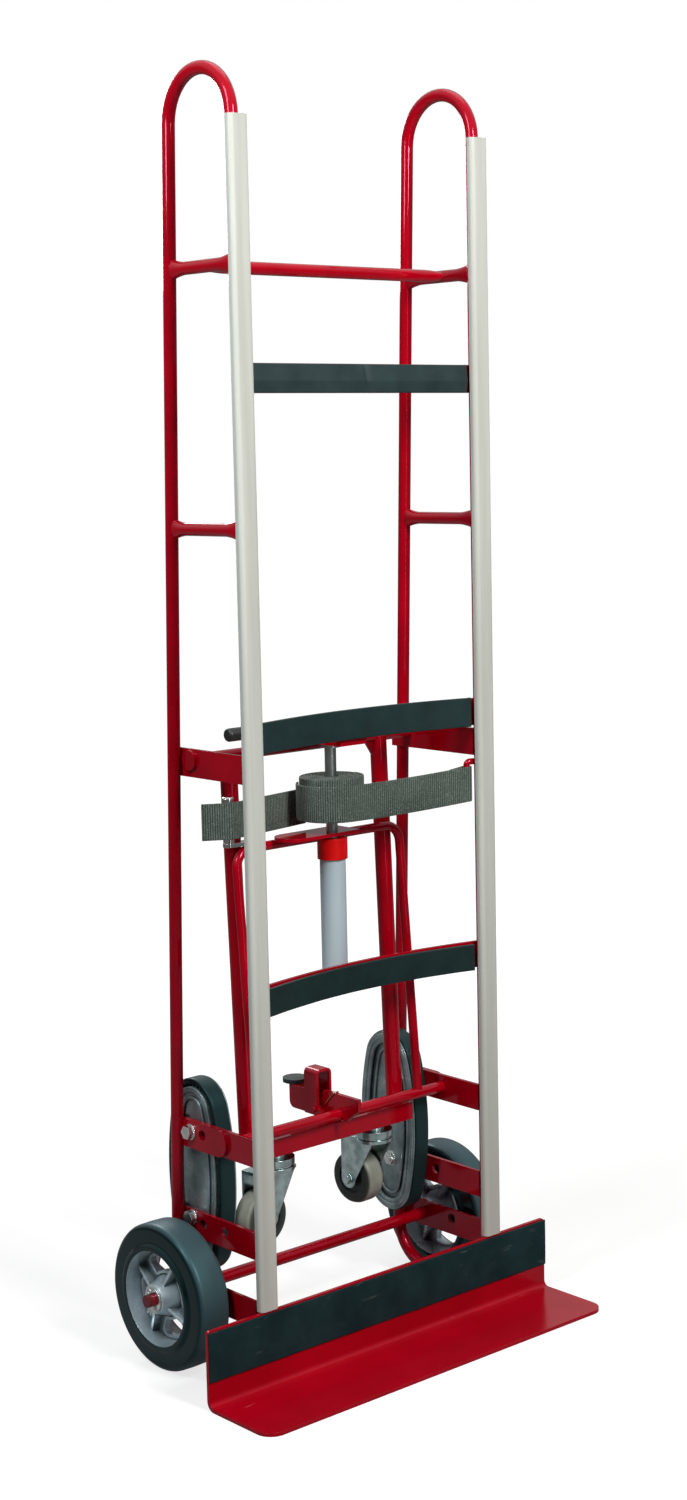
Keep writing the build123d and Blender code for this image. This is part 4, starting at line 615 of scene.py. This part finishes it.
# Strap. Grey webbing 50 mm wide, woven with ribs across it, wound in one band on the spindle.
# One leg wraps the roll and is sewn round the hook at the right; the other runs round the guide at the left.
STRAP_W = 50.0
STRAP_T = 2.4
RIB_PITCH = 3.2
RIB_H = 0.12
THREAD_PITCH = 1.3
SPECKLE = (0.56, 0.72)          # noise at which pale threads begin, and are palest
# Painted shade in the valleys between the ribs.
VALLEY_SHADE = 0.16              # how much of its tone the webbing keeps between two ribs
SPINDLE_AT = np.array([0.0, -61.5])
SPINDLE_R = 8.0
WRAP_GAP = 0.3
LEG_GAP = 0.8
ROLL_LOW_Z = 742.0
ROLL_PITCH = 3.2
ROLL_TURNS = 11
ROLL_T = 2.5
ROLL_STRAY = (0.5, 0.35)        # how far two slow waves lift and lower the turns
ROLL_IN_R = SPINDLE_R + WRAP_GAP + STRAP_T / 2 + ROLL_PITCH / 4
LEG_R = ROLL_IN_R + ROLL_TURNS * ROLL_PITCH + STRAP_T / 2 + LEG_GAP


def strap_section(thickness):
    """Outline of webbing, two flat faces with half-round edges: (across, out) points and how flat each is."""
    half = STRAP_W / 2 - thickness / 2
    face = np.linspace(-half, half, 26)
    turn = np.linspace(-np.pi / 2, np.pi / 2, 7)[1:-1]
    edge_across = half + thickness / 2 * np.cos(turn)
    edge_out = -thickness / 2 * np.sin(turn)
    across = np.concatenate([face, edge_across, face[::-1], -edge_across])
    out = np.concatenate([0 * face + thickness / 2, edge_out, 0 * face - thickness / 2, -edge_out])
    flat = np.clip((half + thickness / 2 - np.abs(across)) / thickness, 0, 1)
    return across, out, flat


def webbing(path, low_z, along, thickness=STRAP_T):
    """Strap on edge along points (x, y): the section along the path's left normal, with a rib every pitch."""
    across, out, flat = (part[None, :] for part in strap_section(thickness))
    heading = np.gradient(path, axis=0)
    heading /= np.linalg.norm(heading, axis=1, keepdims=True)
    rib = RIB_H * np.cos(2 * np.pi * along / RIB_PITCH)[:, None] * flat * np.sign(out)
    x = path[:, :1] - heading[:, 1:] * (out + rib)
    y = path[:, 1:] + heading[:, :1] * (out + rib)
    z = np.asarray(low_z).reshape(-1, 1) + STRAP_W / 2 + across + 0 * x
    marks = np.stack([along[:, None] + 0 * x, across + 0 * x, out + 0 * x], axis=-1)
    return np.stack([x, y, z], axis=-1), marks


def run_of(pieces, step):
    """Points along straight runs (start, end) and arcs (centre, radius, two angles), and lengths along."""
    parts = []
    for piece in pieces:
        if len(piece) == 2:
            start, end = np.asarray(piece[0]), np.asarray(piece[1])
            count = int(np.linalg.norm(end - start) / step) + 2
            parts.append(start + np.linspace(0, 1, count)[:, None] * (end - start))
        else:
            centre, radius, first, last = piece
            count = int(abs(math.radians(last - first)) * radius / step) + 2
            angle = np.radians(np.linspace(first, last, count))
            parts.append(np.asarray(centre) + radius * np.stack([np.cos(angle), np.sin(angle)], axis=1))
    points = np.concatenate([parts[0]] + [part[1:] for part in parts[1:]])
    return points, lengths(points)


def touching_line(first, first_r, first_side, second, second_r, second_side):
    """Line that touches two circles, each on the left (1) or right (-1) of its travel, and its heading."""
    run = np.subtract(second, first)
    swing = math.asin((first_side * first_r - second_side * second_r) / np.linalg.norm(run))
    heading = math.atan2(run[1], run[0]) - swing
    left = np.array([-math.sin(heading), math.cos(heading)])
    return first + first_side * first_r * left, second + second_side * second_r * left, heading


def webbing_finish():
    """Grey weave read from the strap's own coordinates: ribs across with painted shade between them, fine
    threads and pale speckle.
    """
    material = finish_of(
        "grey_webbing", ((96, 111, 102), (73, 87, 79)), patch=25, gloss=(0.62, 0.75),
        relief=(1500, 0.00008), Sheen_Weight=0.15, Specular_IOR_Level=0.2,
    )
    tree = material.node_tree
    weave = put(tree, "ShaderNodeAttribute", attribute_name="own_place").outputs["Vector"]
    threads = {0: weave, 1: (1 / RIB_PITCH, 1 / THREAD_PITCH, 0.3)}
    thread = put(tree, "ShaderNodeVectorMath", threads, operation="MULTIPLY")
    speckle = put(tree, "ShaderNodeTexNoise", {"Vector": thread.outputs[0], "Scale": 1.7, "Detail": 3.0})
    lay_over(tree, remap(tree, speckle.outputs[0], *SPECKLE), colour(172, 180, 172))
    # Painted shade: the weave is darkened in the valleys between ribs.
    wave = worked(tree, "COSINE", worked(tree, "MULTIPLY", first_mark(tree), 2 * math.pi / RIB_PITCH))
    valley_shade = remap(tree, wave, -1.0, 0.5, VALLEY_SHADE, 1.0)
    base = tree.nodes["Principled BSDF"].inputs["Base Color"]
    tree.links.new(mixed(tree, 1.0, base.links[0].from_socket, valley_shade, "MULTIPLY"), base)
    return material


webbing_grey = webbing_finish()
turn = np.linspace(0, 2 * np.pi * ROLL_TURNS, ROLL_TURNS * 110)
roll_r = ROLL_IN_R - ROLL_PITCH / 4 + ROLL_PITCH * turn / (2 * np.pi)
roll_path = SPINDLE_AT + roll_r[:, None] * np.stack([np.cos(turn), np.sin(turn)], axis=1)
roll_along = lengths(roll_path)
roll_low = ROLL_LOW_Z + ROLL_STRAY[0] * np.sin(turn * 0.93 + 0.6) + ROLL_STRAY[1] * np.sin(turn * 0.41)
roll_points, roll_marks = webbing(roll_path, roll_low, roll_along, ROLL_T)
make_piece(
    "strap_winding", [shell(roll_points, capped=True)], webbing_grey, "spindle", "webbing", "strap_roll",
    marks=roll_marks,
)

ANCHOR_AT = np.array([189.0, -135.0])
ANCHOR_R = 4.5
ANCHOR_WRAP_R = ANCHOR_R + WRAP_GAP + STRAP_T / 2
FOLD_TURN = 186.0
FOLD_LENGTH = 26.0
FOLD_SLOPE = 0.12
WRAP_START = 125.0
WRAP_LOW_Z = 733.0
RIGHT_LEG_LOW_Z = 741.5
CLIMB_POWER = 1.6
leave, arrive, heading = touching_line(SPINDLE_AT, LEG_R, -1, ANCHOR_AT, ANCHOR_WRAP_R, -1)
leave_angle = math.degrees(heading) + 270
fold_angle = math.degrees(heading) - 90


def on_circle(centre, radius, angle):
    """Point of a circle at an angle in degrees."""
    return centre + radius * np.array([math.cos(math.radians(angle)), math.sin(math.radians(angle))])


fold_stop = on_circle(ANCHOR_AT, ANCHOR_WRAP_R, fold_angle + FOLD_TURN)
fold_tip = on_circle(fold_stop, FOLD_LENGTH, fold_angle + FOLD_TURN + 90)
right_line, right_along = run_of(
    [
        (SPINDLE_AT, LEG_R, WRAP_START, leave_angle),
        (leave, arrive),
        (ANCHOR_AT, ANCHOR_WRAP_R, fold_angle, fold_angle + FOLD_TURN),
        (fold_stop, fold_tip),
    ],
    RIB_PITCH / 6,
)
wrap_length = LEG_R * math.radians(leave_angle - WRAP_START)
run_part = np.clip((right_along - wrap_length) / np.linalg.norm(arrive - leave), 0, 1)
right_low = WRAP_LOW_Z + (RIGHT_LEG_LOW_Z - WRAP_LOW_Z) * run_part**CLIMB_POWER
right_low -= FOLD_SLOPE * np.clip(right_along - right_along[-1] + FOLD_LENGTH, 0, None)
right_points, right_marks = webbing(right_line, right_low, right_along)
make_piece(
    "strap_leg_right", [shell(right_points, capped=True)], webbing_grey, "frame", "webbing", "strap_right",
    marks=right_marks,
)

GUIDE_AT = np.array([-160.0, -34.0])
GUIDE_R = 7.5
GUIDE_WRAP_R = GUIDE_R + WRAP_GAP + STRAP_T / 2
GUIDE_TURN = 41.0
TAIL_LENGTH = 37.0
LEFT_LEG_LOW_Z = 721.5
leave, arrive, heading = touching_line(SPINDLE_AT, LEG_R, -1, GUIDE_AT, GUIDE_WRAP_R, 1)
guide_angle = math.degrees(heading) + 90
tail_start = on_circle(GUIDE_AT, GUIDE_WRAP_R, guide_angle - GUIDE_TURN)
tail_tip = on_circle(tail_start, TAIL_LENGTH, guide_angle - GUIDE_TURN - 90)
left_line, left_along = run_of(
    [
        (leave, arrive),
        (GUIDE_AT, GUIDE_WRAP_R, guide_angle, guide_angle - GUIDE_TURN),
        (tail_start, tail_tip),
    ],
    RIB_PITCH / 6,
)
left_points, left_marks = webbing(left_line, LEFT_LEG_LOW_Z + 0 * left_along, left_along)
make_piece(
    "strap_leg_left", [shell(left_points, capped=True)], webbing_grey, "frame", "webbing", "strap_left",
    marks=left_marks,
)

# Anchor and guide. A bent hook on the right front leg, enamelled with it, holds the sewn fold.
# The guide is a chromed pin with a roller on the left corner of the hoop.
dress(enamel, "strap_anchor")
chrome = finish_of(
    "chrome_plate", ((228, 230, 230), (206, 210, 210)), patch=60, gloss=(0.08, 0.16), relief=(300, 0.00001),
    edge=0.6 * MM, Metallic=1.0,
)
dress(chrome, "guide_pin", "guide_roller")

# Carriage. Two tube legs hang from a head tube and carry an inverted channel for the casters.
# It is welded and enamelled like the frame.
dress(enamel, "carriage_head", "carriage_legs", "caster_channel")

# Casters. Pressed heads and forks, bright zinc plated, swivel under the channel.
# Each wheel has a dark plastic core and a grey moulded tread with dark shoulders.
bright_zinc = finish_of(
    "bright_zinc", ((202, 220, 221), (150, 170, 171)), patch=55, gloss=(0.14, 0.28), relief=(400, 0.00006),
    edge=1.2 * MM, Metallic=1.0,
)
dress(bright_zinc, "caster_heads", "caster_fork_left", "caster_fork_right")
core_plastic = finish_of(
    "caster_core", ((44, 58, 55), (26, 39, 37)), patch=60, gloss=(0.4, 0.5), relief=(500, 0.00004),
    edge=0.8 * MM,
)
dress(core_plastic, "caster_hub_left", "caster_hub_right")
CASTER_R = 38.0
CASTER_HALF_W = 16.0
TREAD_IN_R = 29.1
TREAD_FLAT = 9.0                # half of the tread's flat middle
TREAD_DROP = 2.4                # from there down to the shoulders
SHOULDER_DARK = (11.5, 15.0)    # how far from the middle it begins to darken, and is darkest
CASTER_TRAIL = 33.0
SWIVEL_Y = -32.0
CASTER_AXLE_Z = 188.5


def tread_finish():
    """Grey tread whose shoulders darken from the place across the wheel."""
    material = finish_of(
        "caster_tread", ((160, 164, 151), (142, 146, 134)), patch=50, gloss=(0.42, 0.55),
        relief=(500, 0.00004), Specular_IOR_Level=0.4,
    )
    tree = material.node_tree
    lay_over(tree, remap(tree, first_mark(tree), *SHOULDER_DARK), colour(62, 66, 61))
    return material


tread_grey = tread_finish()
tread_side = [
    (CASTER_HALF_W, TREAD_IN_R),
    (CASTER_HALF_W, CASTER_R - TREAD_DROP),
    (TREAD_FLAT, CASTER_R),
]
tread_other = [(-x, r) for x, r in reversed(tread_side)]
tread_section = rounded(tread_side + tread_other, [0.5, 3.5, 6.0, 6.0, 3.5, 0.5])
for side, swivel_x, turned_by in (("left", -92.0, 98.0), ("right", 92.0, 3.0)):
    ring = turned(tread_section, 0.0, 0.0, 96)
    ring_marks = np.stack([np.abs(ring[..., 0]), 0 * ring[..., 0], 0 * ring[..., 0]], axis=-1)
    cosine, sine = math.cos(math.radians(turned_by)), math.sin(math.radians(turned_by))
    x, y = ring[..., 0], ring[..., 1] + CASTER_TRAIL
    placed = np.stack(
        [
            swivel_x + cosine * x - sine * y,
            SWIVEL_Y + sine * x + cosine * y,
            CASTER_AXLE_Z + ring[..., 2],
        ],
        axis=-1,
    )
    make_piece(
        f"caster_tread_{side}", [shell(placed, wrap_rows=True)], tread_grey,
        f"caster_wheel_{side}", "caster_tread", f"caster_tyre_{side}", marks=ring_marks,
    )

# Stair crawlers. A rubber belt with teeth inside runs round two pulleys in an oval aluminium casting.
# Zinc plated bolts hold each casting to the side bars. Beads run round both of its faces.
crawler_cast = finish_of(
    "crawler_casting", ((170, 189, 192), (116, 137, 141)), patch=35, gloss=(0.24, 0.38),
    relief=(380, 0.00006), edge=1.6 * MM, Metallic=0.55,
)
# Painted shade: the casting's recesses are darkened where its own surfaces close in.
shaded_in_recesses(crawler_cast, (44, 60, 62), reach=14 * MM)
dress(crawler_cast, "crawler_casting_left", "crawler_casting_right")
dress(zinc, "crawler_bolts")
pulley_plastic = finish_of(
    "pulley_plastic", ((52, 56, 56), (36, 40, 40)), patch=60, gloss=(0.4, 0.5), relief=(500, 0.00004),
    edge=0.8 * MM,
)
dress(
    pulley_plastic,
    "crawler_pulley_upper_left", "crawler_pulley_upper_right",
    "crawler_pulley_lower_left", "crawler_pulley_lower_right",
)
CRAWLER_X = 181.5
CRAWLER_MIDDLE = np.array([19.5, 250.0])
CRAWLER_HALF_DEPTH = 59.0
CRAWLER_END_R = 47.0
CRAWLER_END = 89.5
BELT_HALF_W = 13.0
BELT_T = 7.0
BELT_OUT_R = 2.2
BELT_IN_R = 0.8
TOOTH_H = 3.2
TOOTH_PITCH = 10.0
TOOTH_LEVEL = 0.3       # height on the wave at which a tooth's flank is half way up
TOOTH_FLANK = 0.4       # height of the wave that a flank takes


def oval_run(step):
    """Belt outline: two end arcs joined by two flatter side arcs, anticlockwise in (y, z), closed."""
    bulge = CRAWLER_HALF_DEPTH - CRAWLER_END_R
    side_r = (CRAWLER_END**2 + CRAWLER_HALF_DEPTH**2 - CRAWLER_END_R**2) / (2 * bulge)
    reach = side_r - CRAWLER_HALF_DEPTH
    lean = math.degrees(math.atan2(CRAWLER_END, reach))
    arcs = [
        (CRAWLER_MIDDLE - (reach, 0), side_r, -lean, lean),
        (CRAWLER_MIDDLE + (0, CRAWLER_END), CRAWLER_END_R, lean, 180 - lean),
        (CRAWLER_MIDDLE + (reach, 0), side_r, 180 - lean, 180 + lean),
        (CRAWLER_MIDDLE - (0, CRAWLER_END), CRAWLER_END_R, 180 + lean, 360 - lean),
    ]
    return run_of(arcs, step)


def loop_heading(line):
    """Unit heading at each point of a closed line, from the point before it to the point after it."""
    heading = np.roll(line, -1, axis=0) - np.roll(line, 1, axis=0)
    return heading / np.linalg.norm(heading, axis=1, keepdims=True)


def toothed_belt():
    """Rounded section carried round the oval; its inner face rises by a tooth once every pitch."""
    line, along = oval_run(1.25)
    length = along[-1]
    line, along = line[:-1], along[:-1]
    heading = loop_heading(line)
    corners = [(-BELT_HALF_W, 0), (BELT_HALF_W, 0), (BELT_HALF_W, BELT_T), (-BELT_HALF_W, BELT_T)]
    section = evenly(rounded(corners, [BELT_OUT_R, BELT_OUT_R, BELT_IN_R, BELT_IN_R]), 2.0)
    teeth = round(length / TOOTH_PITCH)
    wave = np.cos(2 * np.pi * teeth * along / length)[:, None]
    tooth = TOOTH_H * np.clip((wave - TOOTH_LEVEL) / TOOTH_FLANK + 0.5, 0, 1)
    depth = section[None, :, 1] + tooth * np.clip(section[None, :, 1] - (BELT_T - 1), 0, 1)
    x = section[None, :, 0] + 0 * depth
    y = line[:, :1] - heading[:, 1:] * depth
    z = line[:, 1:] + heading[:, :1] * depth
    marks = np.stack([BELT_T - depth, 0 * depth, 0 * depth], axis=-1)
    return np.stack([x, y, z], axis=-1), marks


def oval_bead(inset, face_x, half_width, height):
    """Bead along the oval at an inset: an ellipse, half_width by height, sunk to its middle in a face."""
    line = oval_run(2.5)[0][:-1]
    heading = loop_heading(line)
    angle = np.linspace(0, 2 * np.pi, 14, endpoint=False)[None, :]
    depth = inset + half_width * np.cos(angle)
    x = face_x + height * np.sin(angle) + 0 * line[:, :1]
    y = line[:, :1] - heading[:, 1:] * depth
    z = line[:, 1:] + heading[:, :1] * depth
    return np.stack([x, y, z], axis=-1)


beads = [
    oval_bead(inset, face_x, half_width, height)
    for inset, face_x, half_width, height in (
        (8.0, 166.1, 3.2, 1.3),
        (15.0, 166.1, 2.4, 0.9),
        (27.0, 168.5, 2.2, 0.9),
        (13.6, 194.5, 1.8, 0.9),
        (17.0, 194.5, 1.2, 0.7),
        (27.0, 194.5, 2.0, 0.9),
    )
]
for side, sign in (("left", -1), ("right", 1)):
    make_piece(
        f"crawler_beads_{side}", [shell(bead * (sign, 1, 1), wrap_rows=True) for bead in beads],
        crawler_cast, "frame", "cast_aluminium",
    )

belt_rubber = finish_of(
    "belt_rubber", ((5, 26, 24), (2, 15, 14)), patch=35, gloss=(0.30, 0.44), relief=(600, 0.00004),
    Specular_IOR_Level=0.3, Specular_Tint=RUBBER_TINT,
)
dusted(belt_rubber, (27, 45, 46), dull=0.42, clean=BELT_T - 1.4, dusty=BELT_T - 0.2)
belt, belt_marks = toothed_belt()
for side, sign in (("left", -1), ("right", 1)):
    make_piece(
        f"crawler_track_{side}", [shell(belt + (sign * CRAWLER_X, 0, 0), wrap_rows=True)],
        belt_rubber, "frame", "belt_rubber", f"crawler_belt_{side}", marks=belt_marks,
    )

# Studio. A pale floor in a white room. The main lamp stands high in front, with a low strip farther off;
# weaker lamps stand at the left, above and behind. The camera is where the photo was taken from.
FLOOR_HALF = 14.0
FLOOR_TONE = 0.36
FLOOR_LIFT = (0.74, 1.0)        # near the truck, and far from it
FLOOR_FADE = (0.7, 2.6)         # where near ends and far begins
FLOOR_IN_GLOSS = 0.09
ROOM_LIGHT = 0.06
PALE_IN_GLOSS = (0.07, 0.9)     # level with the eye, and well above it
PALE_FROM = (0.06, 0.6)         # upward part of those two directions


def light_path_sum(tree, glossy_share):
    """One for what the camera sees directly or through glass, and a share of it for mirror reflections."""
    path = put(tree, "ShaderNodeLightPath").outputs
    direct = worked(tree, "ADD", path["Is Camera Ray"], path["Is Transmission Ray"])
    gloss = worked(tree, "MULTIPLY", path["Is Glossy Ray"], glossy_share)
    return worked(tree, "ADD", direct, gloss, clamp=True)


floor_mesh = bpy.data.meshes.new("floor")
floor_corners = np.array([(-1, -1, 0), (1, -1, 0), (1, 1, 0), (-1, 1, 0)]) * FLOOR_HALF
floor_mesh.from_pydata(floor_corners, [], [(0, 1, 2, 3)])
floor = bpy.data.objects.new("floor", floor_mesh)
bpy.context.scene.collection.objects.link(floor)
pale_floor = bpy.data.materials.new("pale_floor")
pale_floor.use_nodes = True
floor_tree = pale_floor.node_tree
floor_tree.nodes.remove(floor_tree.nodes["Principled BSDF"])
floor_place = put(floor_tree, "ShaderNodeTexCoord").outputs["Object"]
floor_reach = put(floor_tree, "ShaderNodeVectorMath", {0: floor_place}, operation="LENGTH").outputs["Value"]
floor_fade = remap(floor_tree, floor_reach, *FLOOR_FADE, *FLOOR_LIFT)
floor_lift = worked(floor_tree, "MULTIPLY", light_path_sum(floor_tree, FLOOR_IN_GLOSS), floor_fade)
floor_matt = put(floor_tree, "ShaderNodeBsdfDiffuse", {"Color": (FLOOR_TONE, FLOOR_TONE, FLOOR_TONE, 1)})
floor_glow = put(floor_tree, "ShaderNodeEmission", {"Strength": floor_lift})
floor_sum = put(floor_tree, "ShaderNodeAddShader", {0: floor_matt.outputs[0], 1: floor_glow.outputs[0]})
floor_tree.links.new(floor_sum.outputs[0], floor_tree.nodes["Material Output"].inputs["Surface"])
floor_mesh.materials.append(pale_floor)

world = bpy.data.worlds.new("studio_room")
bpy.context.scene.world = world
world.use_nodes = True
room = world.node_tree
room_light = room.nodes["Background"]
room_light.inputs["Color"].default_value = (0.95, 0.98, 1.0, 1)
room_light.inputs["Strength"].default_value = ROOM_LIGHT
white_room = put(room, "ShaderNodeBackground", {"Color": (1, 1, 1, 1), "Strength": 1.0})
room_place = put(room, "ShaderNodeTexCoord").outputs["Generated"]
room_up = put(room, "ShaderNodeSeparateXYZ", {0: room_place}).outputs[2]
seen = light_path_sum(room, remap(room, room_up, *PALE_FROM, *PALE_IN_GLOSS))
room_mix = put(room, "ShaderNodeMixShader", {0: seen, 1: room_light.outputs[0], 2: white_room.outputs[0]})
room.links.new(room_mix.outputs[0], room.nodes["World Output"].inputs["Surface"])


def soft_lamp(name, place, aim, width, height, power, tint):
    """Rectangular lamp at place (m), turned to face aim."""
    lamp = bpy.data.lights.new(name, "AREA")
    lamp.shape = "RECTANGLE"
    lamp.size = width
    lamp.size_y = height
    lamp.energy = power
    lamp.color = tint
    holder = bpy.data.objects.new(name, lamp)
    holder.location = place
    holder.rotation_euler = (Vector(aim) - Vector(place)).to_track_quat("-Z", "Y").to_euler()
    bpy.context.scene.collection.objects.link(holder)


WARM = (1.0, 0.98, 0.95)
COOL = (0.94, 0.98, 1.0)
WHITE = (1.0, 1.0, 1.0)
soft_lamp("front_lamp", (-0.1, -2.0, 2.05), aim=(0, 0, 1.25), width=0.4, height=0.8, power=46, tint=WARM)
soft_lamp("front_strip", (-0.3, -2.9, 0.9), aim=(0, 0, 1.0), width=0.2, height=1.3, power=4, tint=WARM)
soft_lamp("left_lamp", (-1.65, -0.2, 2.2), aim=(0, 0, 1.8), width=0.5, height=1.1, power=29, tint=COOL)
soft_lamp("top_lamp", (0.2, 0.2, 3.6), aim=(0, 0, 0.5), width=1.6, height=1.6, power=13, tint=WHITE)
soft_lamp("back_lamp", (0.7, 2.3, 2.0), aim=(0, 0, 1.0), width=0.8, height=0.8, power=22, tint=WHITE)

IMAGE_HEIGHT = 1500
FOCAL_PIXELS = 2290.85
SENSOR_HEIGHT = 36.0
CAMERA_AT = (-2.04129, -2.33078, 1.23915)
azimuth, pitch, roll = (math.radians(angle) for angle in (-41.2298, -7.5294, -1.2409))
sight = Vector((-math.sin(azimuth) * math.cos(pitch), math.cos(azimuth) * math.cos(pitch), math.sin(pitch)))
level = Vector((math.cos(azimuth), math.sin(azimuth), 0))
upright = level.cross(sight)
right = math.cos(roll) * level + math.sin(roll) * upright
up = math.cos(roll) * upright - math.sin(roll) * level
camera_data = bpy.data.cameras.new("camera")
camera_data.sensor_fit = "VERTICAL"
camera_data.sensor_height = SENSOR_HEIGHT
camera_data.lens = FOCAL_PIXELS / IMAGE_HEIGHT * SENSOR_HEIGHT
camera = bpy.data.objects.new("camera", camera_data)
camera.matrix_world = Matrix.Translation(CAMERA_AT) @ Matrix((right, up, -sight)).transposed().to_4x4()
bpy.context.scene.collection.objects.link(camera)
bpy.context.scene.camera = camera
bpy.context.scene.view_settings.view_transform = "Standard"
